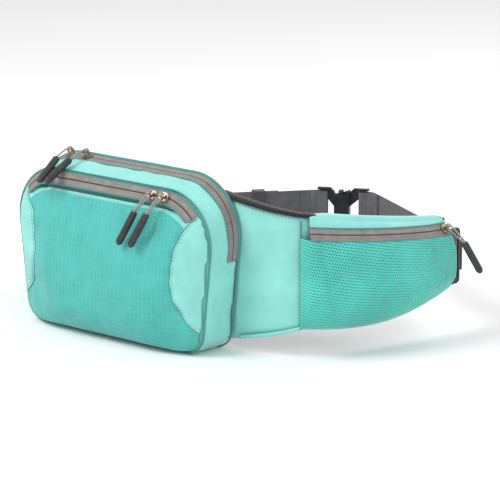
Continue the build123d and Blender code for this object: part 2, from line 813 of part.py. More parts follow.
def corner_frame(near, far, zip_plane, side, turn, fall, depth):
    """A slider's frame part way round a top corner, on the right (1) or the left (-1)."""
    section = near.toward(far, zip_plane)
    x, z = corner_centre(section)
    radius = section.values[5] - gap
    turn, slope = side * radians(turn), atan2(fall, depth)
    out = (sin(turn) * cos(slope), -sin(slope), cos(turn) * cos(slope))
    origin = (side * x + radius * sin(turn), zip_plane, z + radius * cos(turn))
    return Plane(origin=origin, x_dir=(cos(turn), 0, -sin(turn)), z_dir=out)


def pull_frame(track, aim):
    """A pull's frame on a slider: its grip's tip lies in the direction aim from the bail."""
    centre = track.origin + track.z_dir * bail_centre
    aim = Vector(*aim).normalized()
    lift = track.x_dir.cross(aim).normalized()
    if lift.dot(track.z_dir) < 0:
        lift = -lift
    tip_x = cord_route[0][0] + grip_length * cos(radians(grip_tilt))
    rise = atan2(grip_length * sin(radians(grip_tilt)), tip_x)
    along = aim * cos(rise) + lift * sin(rise)
    return Plane(origin=centre, x_dir=along, z_dir=lift * cos(rise) - aim * sin(rise))


def make_zip_pull(name, track, aim):
    save(f"{name}_slider", track * slider())
    frame = pull_frame(track, aim)
    save(f"{name}_cord", frame * cord())
    save(f"{name}_grip", frame * grip())
    hinge = track.origin + track.z_dir * bail_centre
    print(name, "slider at", rounded(track.origin), "along", rounded(track.x_dir),
          "bail", rounded(hinge), "tip", rounded(frame.from_local_coords(Vector(54, 0, -10))))


def rounded(vector):
    return tuple(round(v, 5) for v in vector)


# ================================================================ buckle
buckle_plate = 1.7  # the female housing's walls
buckle_depth = 10.0  # the female housing, outside
housing_back = 7.5  # the housing's closed end, from the buckle's middle
housing_mouth = -2.5
mouth_half = 17.6
mouth_length = 3.0
male_back = 6.9
male_front = 3.0
prong_thickness = 2.6
prong_root = 14.5  # the prongs' outer edges beside the male half, from the middle
prong_ratio = 0.6  # how far the prongs close for each millimetre that the halves part
prong_depth = 5.0
window_inner_half = 4.8
window_outer_half = 11.8
rail = 2.2
shoulder = 4.0  # the slanted corners where a strap frame meets its body
ear_length = 4.5  # the tips that guard the webbing past the bar
ear_thickness = 1.4
housing_margin = 2.4  # the housing's side walls
scoop_bite = 3.5  # how far the thumb scoops come in from the sides
tongue_width = 5.0
tongue_gap = 3.5  # tongue's tip to the housing's closed end
arm_play = 1.0  # male body to the mouth, each side
buckle_frame = Plane(
    origin=(*buckle_centre, belt_height),
    x_dir=(cos(radians(buckle_turn)), sin(radians(buckle_turn)), 0),
    z_dir=(sin(radians(buckle_turn)), -cos(radians(buckle_turn)), 0),
)


def strap_frame(body_edge, bar):
    """A buckle half's strap end: two rails, a bar, and a window that narrows inwards."""
    side = 1 if bar > 0 else -1
    body_edge, bar = abs(body_edge), abs(bar)
    half, slot_half = buckle_height / 2, buckle_height / 2 - rail
    slot_start = bar - buckle_bar / 2 - webbing_thickness - 2 * gap
    bar_end = bar + buckle_bar / 2
    plate = Polygon(
        (body_edge - 0.2, half - shoulder), (body_edge + shoulder, half),
        (bar_end + ear_length, half), (bar_end + ear_length, half - ear_thickness),
        (bar_end, slot_half), (bar_end, -slot_half),
        (bar_end + ear_length, ear_thickness - half), (bar_end + ear_length, -half),
        (body_edge + shoulder, -half), (body_edge - 0.2, shoulder - half), align=None,
    )
    window = Polygon(
        (body_edge, window_inner_half), (slot_start, window_outer_half),
        (slot_start, slot_half), (bar - buckle_bar / 2, slot_half),
        (bar - buckle_bar / 2, -slot_half), (slot_start, -slot_half),
        (slot_start, -window_outer_half), (body_edge, -window_inner_half), align=None,
    )
    solid = Pos(0, 0, -buckle_thickness / 2) * extrude(
        plate - window, buckle_thickness, dir=(0, 0, 1)
    )
    middle = Pos(bar, 0) * Box(2 * buckle_bar, 2 * slot_half, buckle_thickness)
    solid -= middle - Pos(bar, 0) * Box(buckle_bar, 2 * slot_half, buckle_bar)
    if side < 0:
        solid = solid.mirror(Plane.YZ)
    return solid


def make_female():
    half = mouth_half + housing_margin
    length = housing_back - housing_mouth
    block = Pos((housing_back + housing_mouth) / 2, 0) * Box(length, 2 * half, buckle_depth)
    block = fillet(block.edges().filter_by(Axis.X), 2.2)
    cavity_depth = prong_depth + 2 * gap
    cavity = Pos((housing_mouth - 1 + housing_back - buckle_plate) / 2, 0) * Box(
        length - buckle_plate + 1, 2 * mouth_half, cavity_depth
    )
    window_length = length - buckle_plate - mouth_length
    windows = Pos(housing_mouth + mouth_length + window_length / 2, 0) * Box(
        window_length, 3 * half, cavity_depth
    )
    scoop = Pos(housing_mouth + mouth_length + window_length / 2, 0) * Box(
        window_length - 1, 3 * half, buckle_depth + 1
    ) - Box(4 * length, 2 * (half - scoop_bite), 2 * buckle_depth)
    body = block - cavity - windows - scoop
    return body + strap_frame(housing_back, bar_offset["right"])


def make_male():
    length = male_back - male_front
    half = mouth_half - arm_play
    base_block = Pos(-(male_back + male_front) / 2, 0) * Box(length, 2 * half, prong_depth + 2)
    base_block = fillet(base_block.edges().filter_by(Axis.X), 1.5)
    tongue_tip = housing_back - tongue_gap
    tongue = Pos((tongue_tip - male_front) / 2, 0) * Box(
        male_front + tongue_tip, tongue_width, prong_depth - 1.4
    )
    return base_block + tongue + strap_frame(-male_back, bar_offset["left"])


def prong(side):
    """A springy arm with its catch. The catch's ramp clears the mouth as the halves part."""
    tip = housing_back - buckle_plate - 2 * gap
    ramp_start = housing_mouth + mouth_length
    low = mouth_half - gap
    catch = low + prong_ratio * (tip - 1.0 - ramp_start)
    root = -male_front + gap
    arm = Polygon(
        (root, prong_root - prong_thickness), (ramp_start, low - 2 * prong_thickness),
        (tip - 0.8, low - prong_thickness), (tip, low), (tip, catch - 0.8),
        (tip - 1.0, catch), (ramp_start, low), (ramp_start - 1.2, low), (root, prong_root),
        align=None,
    )
    solid = Pos(0, 0, -prong_depth / 2) * extrude(arm, prong_depth, dir=(0, 0, 1))
    return solid if side > 0 else solid.mirror(Plane.XZ)


# Which way each pull lies, and for the wings the shares along, outwards and down.
main_left_aim = (0.14, -0.918, -0.37)
main_right_aim = (-0.05, -0.92, -0.365)
front_aim = (-0.428, -0.3, -0.853)
wing_aim = (0.46, 0.36, 0.81)
bar_offset = {"right": 19.5, "left": -16.5}  # buckle's middle to each strap bar
weave = {"right": -1, "left": 1}  # -1 where the strap meets its lock from the wearer's side
keeper_place = {"right": 62.0, "left": 57.0}  # from the lock's second slot

make_pad()
make_main_compartment()
make_front_pocket()
wings = {"right": Wing(1, right_arc), "left": Wing(-1, left_arc)}
for suffix, wing in wings.items():
    wing.make_panels(suffix)
    wing.make_pocket(suffix)
    track = wing.zip_frame(wing_slider_setback)
    along = track.x_dir
    out = Vector(track.z_dir.X, track.z_dir.Y, 0).normalized()
    aim = along * wing_aim[0] + out * wing_aim[1] - Vector(0, 0, wing_aim[2])
    make_zip_pull(f"wing_zip_{suffix}", track, tuple(aim))
    zip_centre = (wing.side * wing.zip_x, wing.zip_y, wing.zip_height(wing.zip_y))
    print("wing zip centre", suffix, rounded(zip_centre), "radius", wing.zip_radius)

main_corner = corner_frame(
    main_back, main_front, main_zip_plane, -1, main_corner_turn, top_fall, main_depth
)
make_zip_pull("main_zip_left", main_corner, main_left_aim)
main_top = top_frame(
    main_back, main_front, main_zip_plane, main_slider_x, top_fall, main_depth
)
make_zip_pull("main_zip_right", main_top, main_right_aim)
print("corner centre", corner_centre(main_back.toward(main_front, main_zip_plane)))
front_top = top_frame(
    pocket_sections[1], pocket_sections[2], pocket_zip_plane, front_slider_x, band_rise, band_run
)
make_zip_pull("front_zip_left", front_top, front_aim)
front_corner = corner_frame(
    pocket_sections[1], pocket_sections[2], pocket_zip_plane, 1, front_corner_turn,
    band_rise, band_run,
)
make_zip_pull("front_zip_right", front_corner, front_aim)
pocket_zip_section = pocket_sections[1].toward(pocket_sections[2], pocket_zip_plane)
print("front corner centre", corner_centre(pocket_zip_section))

for suffix, side in (("right", 1), ("left", -1)):
    lock = Lock(side, wings[suffix])
    save(f"ladder_lock_{suffix}", lock.body())
    save(f"lock_loop_{suffix}", lock.loop())
    bar = buckle_frame.from_local_coords(Vector(bar_offset[suffix], 0, 0))
    onward = buckle_frame.x_dir * (1 if bar_offset[suffix] > 0 else -1)
    strap = Strap(lock, (bar.X, bar.Y), (onward.X, onward.Y), weave[suffix])
    save(f"strap_{suffix}", strap.body())
    save(f"keeper_{suffix}", strap.keeper(keeper_place[suffix]))
    print("lock", suffix, rounded(lock.frame().origin), "run", strap.run, "slot", strap.beside(0))

save("buckle_female", buckle_frame * make_female())
save("buckle_male", buckle_frame * make_male())
for name, side in (("upper", 1), ("lower", -1)):
    save(f"buckle_prong_{name}", buckle_frame * prong(side))
print("cord diameter", cord_diameter, "bend radii", cord_radii)
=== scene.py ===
"""Waist pack: fabric, webbing, zips, cords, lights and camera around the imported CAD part."""

import random
from math import atan2, cos, exp, hypot, pi, radians, sin, sqrt

import bmesh
import bpy
import numpy as np
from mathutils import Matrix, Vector, noise


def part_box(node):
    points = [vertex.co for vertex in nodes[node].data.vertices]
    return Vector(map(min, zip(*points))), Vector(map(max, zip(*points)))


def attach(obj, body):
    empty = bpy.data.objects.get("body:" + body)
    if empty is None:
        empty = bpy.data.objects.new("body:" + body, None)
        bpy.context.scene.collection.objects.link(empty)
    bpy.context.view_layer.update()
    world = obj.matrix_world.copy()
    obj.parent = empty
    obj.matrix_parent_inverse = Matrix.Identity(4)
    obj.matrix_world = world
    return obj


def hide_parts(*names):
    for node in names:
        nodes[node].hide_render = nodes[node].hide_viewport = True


random.seed(7)
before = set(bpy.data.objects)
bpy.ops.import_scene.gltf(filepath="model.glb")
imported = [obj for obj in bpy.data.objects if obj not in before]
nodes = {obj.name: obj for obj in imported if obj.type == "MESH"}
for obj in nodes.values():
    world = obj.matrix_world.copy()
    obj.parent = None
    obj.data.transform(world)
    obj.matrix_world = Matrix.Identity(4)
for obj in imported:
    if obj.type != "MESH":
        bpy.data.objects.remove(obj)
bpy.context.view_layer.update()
scene = bpy.context.scene
MM = 0.001

# ================================================================ materials


class Nodes:
    """A material and short calls that add nodes to it."""

    def __init__(self, name, roughness=0.6, metallic=0.0, sheen=0.0, specular=0.5):
        self.material = bpy.data.materials.new(name)
        self.material.use_nodes = True
        self.tree = self.material.node_tree
        self.shader = self.tree.nodes["Principled BSDF"]
        self.shader.inputs["Roughness"].default_value = roughness
        self.shader.inputs["Metallic"].default_value = metallic
        self.shader.inputs["Specular IOR Level"].default_value = specular
        self.shader.inputs["Sheen Weight"].default_value = sheen
        self.shader.inputs["Sheen Roughness"].default_value = 0.4
        self.coords = self.add("ShaderNodeTexCoord").outputs["Object"]
        self.uv = self.add("ShaderNodeTexCoord").outputs["UV"]

    def add(self, kind, **values):
        node = self.tree.nodes.new(kind)
        for key, value in values.items():
            setattr(node, key, value)
        return node

    def link(self, a, b):
        self.tree.links.new(a, b)

    def math(self, operation, a, b=None, clamp=False):
        node = self.add("ShaderNodeMath", operation=operation, use_clamp=clamp)
        for i, value in enumerate((a, b)):
            if value is None:
                continue
            if isinstance(value, (int, float)):
                node.inputs[i].default_value = value
            else:
                self.link(value, node.inputs[i])
        return node.outputs[0]

    def mapped(self, source, scale=(1, 1, 1), rotation=(0, 0, 0), location=(0, 0, 0)):
        node = self.add("ShaderNodeMapping")
        self.link(source, node.inputs["Vector"])
        node.inputs["Scale"].default_value = scale
        node.inputs["Rotation"].default_value = rotation
        node.inputs["Location"].default_value = location
        return node.outputs["Vector"]

    def split(self, source):
        node = self.add("ShaderNodeSeparateXYZ")
        self.link(source, node.inputs[0])
        return node.outputs

    def noise(self, source, scale, detail=3.0, rough=0.55):
        node = self.add("ShaderNodeTexNoise")
        self.link(source, node.inputs["Vector"])
        node.inputs["Scale"].default_value = scale
        node.inputs["Detail"].default_value = detail
        node.inputs["Roughness"].default_value = rough
        return node.outputs["Fac"]

    def wave(self, value, period, sharp=1.0):
        """0 to 1 and back over each period of a length."""
        turn = self.math("MULTIPLY", value, 2 * pi / period)
        half = self.math("MULTIPLY_ADD", self.math("SINE", turn), 0.5)
        half.node.inputs[2].default_value = 0.5
        return self.math("POWER", half, sharp) if sharp != 1.0 else half

    def ramp(self, value, *stops):
        node = self.add("ShaderNodeValToRGB")
        elements = node.color_ramp.elements
        while len(elements) < len(stops):
            elements.new(0.5)
        for element, (place, color) in zip(elements, stops):
            element.position = place
            element.color = (*color, 1.0)
        self.link(value, node.inputs["Fac"])
        return node.outputs["Color"]

    def mix(self, share, a, b):
        node = self.add("ShaderNodeMix", data_type="RGBA")
        if isinstance(share, (int, float)):
            node.inputs["Factor"].default_value = share
        else:
            self.link(share, node.inputs["Factor"])
        for socket, value in ((node.inputs[6], a), (node.inputs[7], b)):
            if isinstance(value, tuple):
                socket.default_value = (*value, 1.0)
            else:
                self.link(value, socket)
        return node.outputs[2]

    def color(self, value):
        self.link(value, self.shader.inputs["Base Color"])

    def bump(self, *layers):
        """Each layer is a height and its depth in millimetres."""
        normal = None
        for height, depth in layers:
            node = self.add("ShaderNodeBump")
            node.inputs["Strength"].default_value = 1.0
            node.inputs["Distance"].default_value = depth * MM
            self.link(height, node.inputs["Height"])
            if normal is not None:
                self.link(normal, node.inputs["Normal"])
            normal = node.outputs["Normal"]
        self.link(normal, self.shader.inputs["Normal"])


def scaled(color, share):
    return tuple(c * share for c in color)


def woven(name, color, period=0.7, grid=0.0, grid_color=None, sheen=0.25, depth=0.05):
    """Plain woven nylon, with an optional ripstop grid. UVs are in metres."""
    m = Nodes(name, roughness=0.62, sheen=sheen, specular=0.35)
    u, v, _ = m.split(m.uv)
    warp, weft = m.wave(u, period * MM), m.wave(v, period * MM)
    thread = m.math("MULTIPLY", warp, weft)
    tone = m.noise(m.coords, 38.0, 4.0)
    fine = m.noise(m.coords, 900.0, 2.0)
    base = m.ramp(tone, (0.3, scaled(color, 0.90)), (0.72, scaled(color, 1.07)))
    base = m.mix(m.math("MULTIPLY", fine, 0.16), base, scaled(color, 0.72))
    height = m.math("ADD", thread, m.math("MULTIPLY", fine, 0.4))
    if grid:
        lines = m.math("MAXIMUM", m.wave(u, grid * MM, 26.0), m.wave(v, grid * MM, 26.0))
        base = m.mix(m.math("MULTIPLY", lines, 0.55), base, grid_color)
        height = m.math("ADD", height, m.math("MULTIPLY", lines, 1.6))
    m.color(base)
    m.bump((m.noise(m.coords, 60.0, 3.0), 0.35), (height, depth))
    return m


def perforated(name, color):
    """Stretch mesh: slanted rows of small holes. UVs are in metres."""
    m = Nodes(name, roughness=0.7, sheen=0.3, specular=0.25)
    turned = m.mapped(m.uv, rotation=(0, 0, radians(6)), scale=(1, 1, 1))
    u, v, _ = m.split(turned)
    row = m.math("FLOOR", m.math("DIVIDE", v, 2.0 * MM))
    shift = m.math("MULTIPLY", m.math("MODULO", row, 2.0), 1.15 * MM)
    a, b = m.wave(m.math("ADD", u, shift), 2.3 * MM, 2.0), m.wave(v, 2.0 * MM, 2.0)
    hole = m.math("MULTIPLY", a, b)
    hole = m.math("MULTIPLY", m.math("SUBTRACT", hole, 0.2, clamp=True), 3.6, clamp=True)
    tone = m.noise(m.coords, 30.0, 4.0)
    base = m.ramp(tone, (0.3, scaled(color, 0.84)), (0.7, scaled(color, 1.1)))
    # The holes are painted near-black: painted shade of the space seen through the mesh.
    base = m.mix(m.math("MULTIPLY", hole, 0.95), base, scaled(color, 0.1))
    m.color(base)
    m.bump((m.noise(m.coords, 70.0, 3.0), 0.4), (m.math("SUBTRACT", 1.0, hole), 0.35))
    return m


def ribbed(name, color, rib=1.15, cross=2.6, sheen=0.2):
    """Webbing: fine ribs along, and thread bars across. UVs are in metres, U along it."""
    m = Nodes(name, roughness=0.72, sheen=sheen, specular=0.3)
    u, v, _ = m.split(m.uv)
    along, across = m.wave(v, rib * MM), m.wave(u, cross * MM)
    height = m.math("ADD", m.math("MULTIPLY", along, 0.45), across)
    tone = m.noise(m.coords, 120.0, 4.0)
    base = m.ramp(tone, (0.3, scaled(color, 0.8)), (0.72, scaled(color, 1.2)))
    # The gaps between the thread bars are painted darker: painted shade in the weave's recesses.
    base = m.mix(m.math("MULTIPLY", m.math("SUBTRACT", 1.0, across), 0.5), base, scaled(color, 0.5))
    m.color(base)
    m.bump((height, 0.16), (m.noise(m.coords, 1300.0, 2.0), 0.04))
    return m


def moulded(name, color, roughness=0.42, grain=0.05, specular=0.45):
    """Moulded plastic or rubber with a fine grain and faint rubbed patches."""
    m = Nodes(name, roughness=roughness, specular=specular)
    tone = m.noise(m.coords, 180.0, 4.0)
    m.color(m.ramp(tone, (0.35, scaled(color, 0.8)), (0.8, scaled(color, 1.5))))
    m.bump((m.noise(m.coords, 2200.0, 2.0), grain), (m.noise(m.coords, 90.0), 0.08))
    return m


def metal(name, color, roughness=0.32):
    m = Nodes(name, roughness=roughness, metallic=1.0)
    tone = m.noise(m.coords, 260.0, 4.0)
    m.color(m.ramp(tone, (0.3, scaled(color, 0.55)), (0.7, scaled(color, 1.25))))
    m.bump((m.noise(m.coords, 1500.0, 2.0), 0.03))
    return m


TEAL = (0.25, 0.645, 0.585)
DEEP_TEAL = (0.062, 0.42, 0.375)
SEAM_TEAL = (0.055, 0.27, 0.25)
MESH_TEAL = (0.085, 0.56, 0.47)
gusset_cloth = woven("gusset_cloth", TEAL, sheen=0.3)
ripstop_cloth = woven(
    "ripstop_cloth", DEEP_TEAL, period=0.8, grid=4.2, grid_color=(0.11, 0.52, 0.465), depth=0.07
)
mesh_cloth = perforated("mesh_cloth", MESH_TEAL)
tape_cloth = ribbed("tape_cloth", (0.275, 0.25, 0.23), rib=1.3, cross=1.25)
webbing_cloth = ribbed("webbing_cloth", (0.135, 0.135, 0.14), rib=4.2, cross=1.5)
binding_cloth = ribbed("binding_cloth", (0.014, 0.014, 0.016), rib=1.0, cross=1.2)
elastic_cloth = ribbed("elastic_cloth", (0.085, 0.085, 0.088), rib=1.5, cross=1.0)
spacer_cloth = perforated("spacer_cloth", (0.045, 0.047, 0.05))
seam_thread = woven("seam_thread", SEAM_TEAL, period=0.5)
thread_grey = woven("thread_grey", (0.33, 0.33, 0.34), period=0.4)
black_plastic = moulded("black_plastic", (0.014, 0.014, 0.016))
grip_rubber = moulded("grip_rubber", (0.028, 0.028, 0.030), roughness=0.5, grain=0.08)
gunmetal = metal("gunmetal", (0.42, 0.33, 0.24))
coil_nylon = moulded("coil_nylon", (0.05, 0.045, 0.04), roughness=0.45)

cord_braid = Nodes("cord_braid", roughness=0.75, sheen=0.3, specular=0.25)
twist_a = cord_braid.math("ADD", *[
    cord_braid.math("MULTIPLY", c, 1.0) for c in cord_braid.split(cord_braid.coords)[:2]])
twist = cord_braid.math("ADD", twist_a, cord_braid.split(cord_braid.coords)[2])
strand = cord_braid.wave(twist, 1.1 * MM)
# The cord's colour follows its strands' relief, darker in the grooves between them: painted shade.
cord_braid.color(cord_braid.mix(strand, (0.20, 0.195, 0.19), (0.42, 0.41, 0.40)))
cord_braid.bump((strand, 0.15))

# ================================================================ building meshes


def new_object(name, verts, faces, material, uvs=None, body="pack", slot=None, smooth=True):
    """A mesh piece from points in millimetres, riding on a body."""
    mesh = bpy.data.meshes.new(name)
    mesh.from_pydata([tuple(c * MM for c in v) for v in verts], [], faces)
    if uvs is not None:
        layer = mesh.uv_layers.new(name="UVMap")
        loops = np.empty(len(mesh.loops), dtype=np.int32)
        mesh.loops.foreach_get("vertex_index", loops)
        layer.data.foreach_set("uv", (np.array(uvs)[loops] * MM).ravel())
    bm = bmesh.new()
    bm.from_mesh(mesh)
    bmesh.ops.recalc_face_normals(bm, faces=bm.faces)
    bm.to_mesh(mesh)
    bm.free()
    mesh.polygons.foreach_set("use_smooth", [smooth] * len(mesh.polygons))
    obj = bpy.data.objects.new(name, mesh)
    scene.collection.objects.link(obj)
    obj.data.materials.append(material.material)
    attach(obj, body)
    return obj


def sweep(name, rings, material, closed_ends=True, uv_ring=None, **kw):
    """A skin through rings of points, one ring per station, each ring closed on itself.

    uv_ring gives a distance round the ring for each point; the distance along is measured.
    """
    count = len(rings[0])
    verts, uvs, along = [], [], 0.0
    for i, ring in enumerate(rings):
        if i:
            along += float(np.linalg.norm(np.mean(rings[i], 0) - np.mean(rings[i - 1], 0)))
        for j, p in enumerate(ring):
            verts.append(tuple(p))
            uvs.append((along, uv_ring[j] if uv_ring is not None else j))
    faces = []
    for i in range(len(rings) - 1):
        for j in range(count):
            k = (j + 1) % count
            faces.append((i * count + j, i * count + k, (i + 1) * count + k, (i + 1) * count + j))
    if closed_ends:
        faces.append(tuple(range(count))[::-1])
        faces.append(tuple((len(rings) - 1) * count + j for j in range(count)))
    return new_object(name, verts, faces, material, uvs, **kw)


def tube(name, points, radius, material, sides=8, flat=1.0, **kw):
    """A round or flattened tube along points."""
    points = [np.array(p, float) for p in points]
    rings, up = [], None
    for i, p in enumerate(points):
        tangent = points[min(i + 1, len(points) - 1)] - points[max(i - 1, 0)]
        tangent /= np.linalg.norm(tangent)
        if up is None:
            up = np.cross(tangent, (0.3, 0.2, 0.93))
        up = up - tangent * up.dot(tangent)
        up /= np.linalg.norm(up)
        side = np.cross(tangent, up)
        rings.append([
            p + radius * (up * cos(2 * pi * j / sides) + side * flat * sin(2 * pi * j / sides))
            for j in range(sides)
        ])
    ring_uv = [2 * pi * radius * j / sides for j in range(sides)]
    return sweep(name, rings, material, uv_ring=ring_uv, **kw)


def stitches(name, points, material, length=2.6, space=1.4, radius=0.32, **kw):
    """A row of raised thread dashes along a line of points."""
    points = [np.array(p, float) for p in points]
    spans = [np.linalg.norm(b - a) for a, b in zip(points, points[1:])]
    total = sum(spans)

    def at(s):
        for a, b, span in zip(points, points[1:], spans):
            if s <= span:
                return a + (b - a) * (s / span if span else 0)
            s -= span
        return points[-1]

    verts, faces, s = [], [], space
    while s + length < total:
        a, b = at(s), at(s + length)
        t = (b - a) / np.linalg.norm(b - a)
        up = np.cross(t, (0.31, 0.17, 0.93))
        up /= np.linalg.norm(up)
        side = np.cross(t, up)
        start = len(verts)
        for share, r in ((0, 0.25), (0.2, 0.9), (0.5, 1.0), (0.8, 0.9), (1, 0.25)):
            for j in range(5):
                turn = 2 * pi * j / 5
                verts.append(a + (b - a) * share + radius * r * (up * cos(turn) + side * sin(turn)))
        for i in range(4):
            for j in range(5):
                k = (j + 1) % 5
                faces.append((start + i * 5 + j, start + i * 5 + k,
                              start + i * 5 + 5 + k, start + i * 5 + 5 + j))
        faces.append(tuple(start + j for j in range(5))[::-1])
        faces.append(tuple(start + 20 + j for j in range(5)))
        s += length + space
    return new_object(name, verts, faces, material, [(v[0], v[2]) for v in verts], **kw)


def cloth(obj, pinned, pressure, cap, shrink=0.0):
    """Inflates a closed mesh with Blender's cloth, and keeps each point within cap (mm)."""
    mesh = obj.data
    rest = np.empty(len(mesh.vertices) * 3)
    mesh.vertices.foreach_get("co", rest)
    rest = rest.reshape(-1, 3)
    if shrink:
        normals = np.empty(len(mesh.vertices) * 3)
        mesh.vertices.foreach_get("normal", normals)
        mesh.vertices.foreach_set("co", (rest - normals.reshape(-1, 3) * shrink * MM).ravel())
    group = obj.vertex_groups.new(name="held")
    for i, p in enumerate(rest):
        weight = pinned(*(p / MM))
        if weight > 0:
            group.add([i], weight, "REPLACE")
    modifier = obj.modifiers.new("cloth", "CLOTH")
    s = modifier.settings
    s.quality = 5
    s.vertex_group_mass = "held"
    s.use_pressure = True
    s.uniform_pressure_force = pressure
    s.effector_weights.gravity = 0
    s.tension_stiffness = s.compression_stiffness = 12
    s.bending_stiffness = 0.6
    modifier.point_cache.frame_start, modifier.point_cache.frame_end = 1, 20
    for number in range(1, 21):
        scene.frame_set(number)
    depsgraph = bpy.context.evaluated_depsgraph_get()
    result = obj.evaluated_get(depsgraph).to_mesh()
    moved = np.empty(len(result.vertices) * 3)
    result.vertices.foreach_get("co", moved)
    moved = moved.reshape(-1, 3)
    obj.evaluated_get(depsgraph).to_mesh_clear()
    obj.modifiers.remove(modifier)
    scene.frame_set(1)
    step = moved - rest
    size = np.linalg.norm(step, axis=1, keepdims=True)
    step *= np.minimum(1.0, cap * MM / np.maximum(size, 1e-9))
    mesh.vertices.foreach_set("co", (rest + step).ravel())
    mesh.update()


def apply_modifiers(obj):
    depsgraph = bpy.context.evaluated_depsgraph_get()
    mesh = bpy.data.meshes.new_from_object(obj.evaluated_get(depsgraph))
    obj.modifiers.clear()
    obj.data = mesh


def body_block(name, source_nodes, voxel, material):
    """A closed, remeshed block round CAD nodes' outer shape."""
    bm = bmesh.new()
    for n in source_nodes:
        for v in nodes[n].data.vertices:
            bm.verts.new(v.co)
    hull = bmesh.ops.convex_hull(bm, input=bm.verts)
    spare = hull["geom_interior"] + hull["geom_unused"]
    loose = [g for g in spare if isinstance(g, bmesh.types.BMVert)]
    bmesh.ops.delete(bm, geom=list(set(loose)), context="VERTS")
    mesh = bpy.data.meshes.new(name)
    bm.to_mesh(mesh)
    bm.free()
    obj = bpy.data.objects.new(name, mesh)
    scene.collection.objects.link(obj)
    remesh = obj.modifiers.new("remesh", "REMESH")
    remesh.mode = "VOXEL"
    remesh.voxel_size = voxel * MM
    apply_modifiers(obj)
    obj.data.materials.clear()
    obj.data.materials.append(material.material)
    return obj


def finish_block(obj, levels, shape):
    """Subdivides a block, moves its points by shape(x, y, z), and lays flat UVs on it."""
    subdivide = obj.modifiers.new("subdivide", "SUBSURF")
    subdivide.levels = subdivide.render_levels = levels
    apply_modifiers(obj)
    mesh = obj.data
    points = np.empty(len(mesh.vertices) * 3)
    mesh.vertices.foreach_get("co", points)
    points = points.reshape(-1, 3) / MM
    points = shape(points)
    mesh.vertices.foreach_set("co", (points * MM).ravel())
    mesh.update()
    mesh.polygons.foreach_set("use_smooth", [True] * len(mesh.polygons))
    normals = np.empty(len(mesh.polygons) * 3)
    mesh.polygons.foreach_get("normal", normals)
    normals = np.abs(normals.reshape(-1, 3))
    layer = mesh.uv_layers.new(name="UVMap")
    uvs = np.zeros((len(mesh.loops), 2))
    starts = np.empty(len(mesh.polygons), dtype=np.int32)
    totals = np.empty(len(mesh.polygons), dtype=np.int32)
    mesh.polygons.foreach_get("loop_start", starts)
    mesh.polygons.foreach_get("loop_total", totals)
    loop_vertex = np.empty(len(mesh.loops), dtype=np.int32)
    mesh.loops.foreach_get("vertex_index", loop_vertex)
    face_of_loop = np.repeat(np.arange(len(starts)), totals)
    p = points[loop_vertex]
    n = normals[face_of_loop]
    front = (n[:, 1] > 0.45)
    side = (~front) & (n[:, 0] > n[:, 2])
    roof = (~front) & ~side
    uvs[front] = p[front][:, [0, 2]]
    uvs[side] = p[side][:, [1, 2]]
    uvs[roof] = p[roof][:, [0, 1]]
    layer.data.foreach_set("uv", (uvs * MM).ravel())
    return obj


# ================================================================ the pack's own shape
MAIN_ZIP_END = 5  # the heights that the zips' ends come down to
FRONT_ZIP_END = 43


def section(y, half_top, half_base, top, base, top_radius, base_radius):
    return np.array((y, half_top, half_base, top, base, top_radius, base_radius))


def toward(near, far, y):
    return near + (far - near) * (y - near[0]) / (far[0] - near[0])


main_back = section(-12.0, 119.75, 104.0, 75.0, -75.0, 50.0, 20.0)
main_front = section(-46.0, 116.75, 101.0, 65.5, -75.0, 47.0, 20.0)
pocket = [
    section(-46.3, 115.75, 100.0, 65.2, -74.0, 45, 20),
    section(-49.3, 114.75, 99.0, 64.8, -74.0, 45, 20),
    section(-55.3, 107.75, 93.0, 54.4, -72.5, 42, 22),
    section(-61.9, 89.75, 78.0, 27.2, -69.0, 36, 26),
    section(-72.3, 61.75, 54.0, -8.8, -55.0, 20, 20),
]


def outline(values, z_end=None, steps=18, out=0.0, whole=False):
    """Points round a section, from its left side over the top to its right side."""
    y, half_top, half_base, top, base, top_radius, base_radius = values
    lean = (half_top - half_base) / (top - base)
    tilt = atan2(lean, 1.0)
    radius = top_radius
    cx = half_top - radius * lean - radius * sqrt(1 + lean**2)
    cz = top - radius
    right = []
    for i in range(steps + 1):
        angle = pi / 2 - (pi / 2 + tilt) * i / steps
        right.append((cx + (radius + out) * cos(angle), cz + (radius + out) * sin(angle)))
    flat = [(x, top + out) for x in np.linspace(0, cx, 24)[:-1]]
    tail_x, tail_z = right[-1]
    if whole:
        radius = base_radius
        bx = half_base + radius * lean - radius * sqrt(1 + lean**2)
        bz = base + radius
        corner = []
        for i in range(steps + 1):
            angle = -tilt - (pi / 2 - tilt) * i / steps
            corner.append((bx + (radius + out) * cos(angle), bz + (radius + out) * sin(angle)))
        start = corner[0]
        side = [
            (tail_x + (start[0] - tail_x) * t, tail_z + (start[1] - tail_z) * t)
            for t in np.linspace(0, 1, 14)[1:-1]
        ]
        floor = [(x, base - out) for x in np.linspace(bx, 0, 20)[1:]]
        half = flat + right + side + corner + floor
    else:
        side = []
        if tail_z > z_end:
            side = [
                (tail_x - (tail_z - z) * lean, z) for z in np.linspace(tail_z, z_end, 12)[1:]
            ]
        half = flat + right + side
    left = [(-x, z) for x, z in reversed(half[1:])]
    if whole:
        left = left[1:]
    return [np.array((x, y, z)) for x, z in left + half]


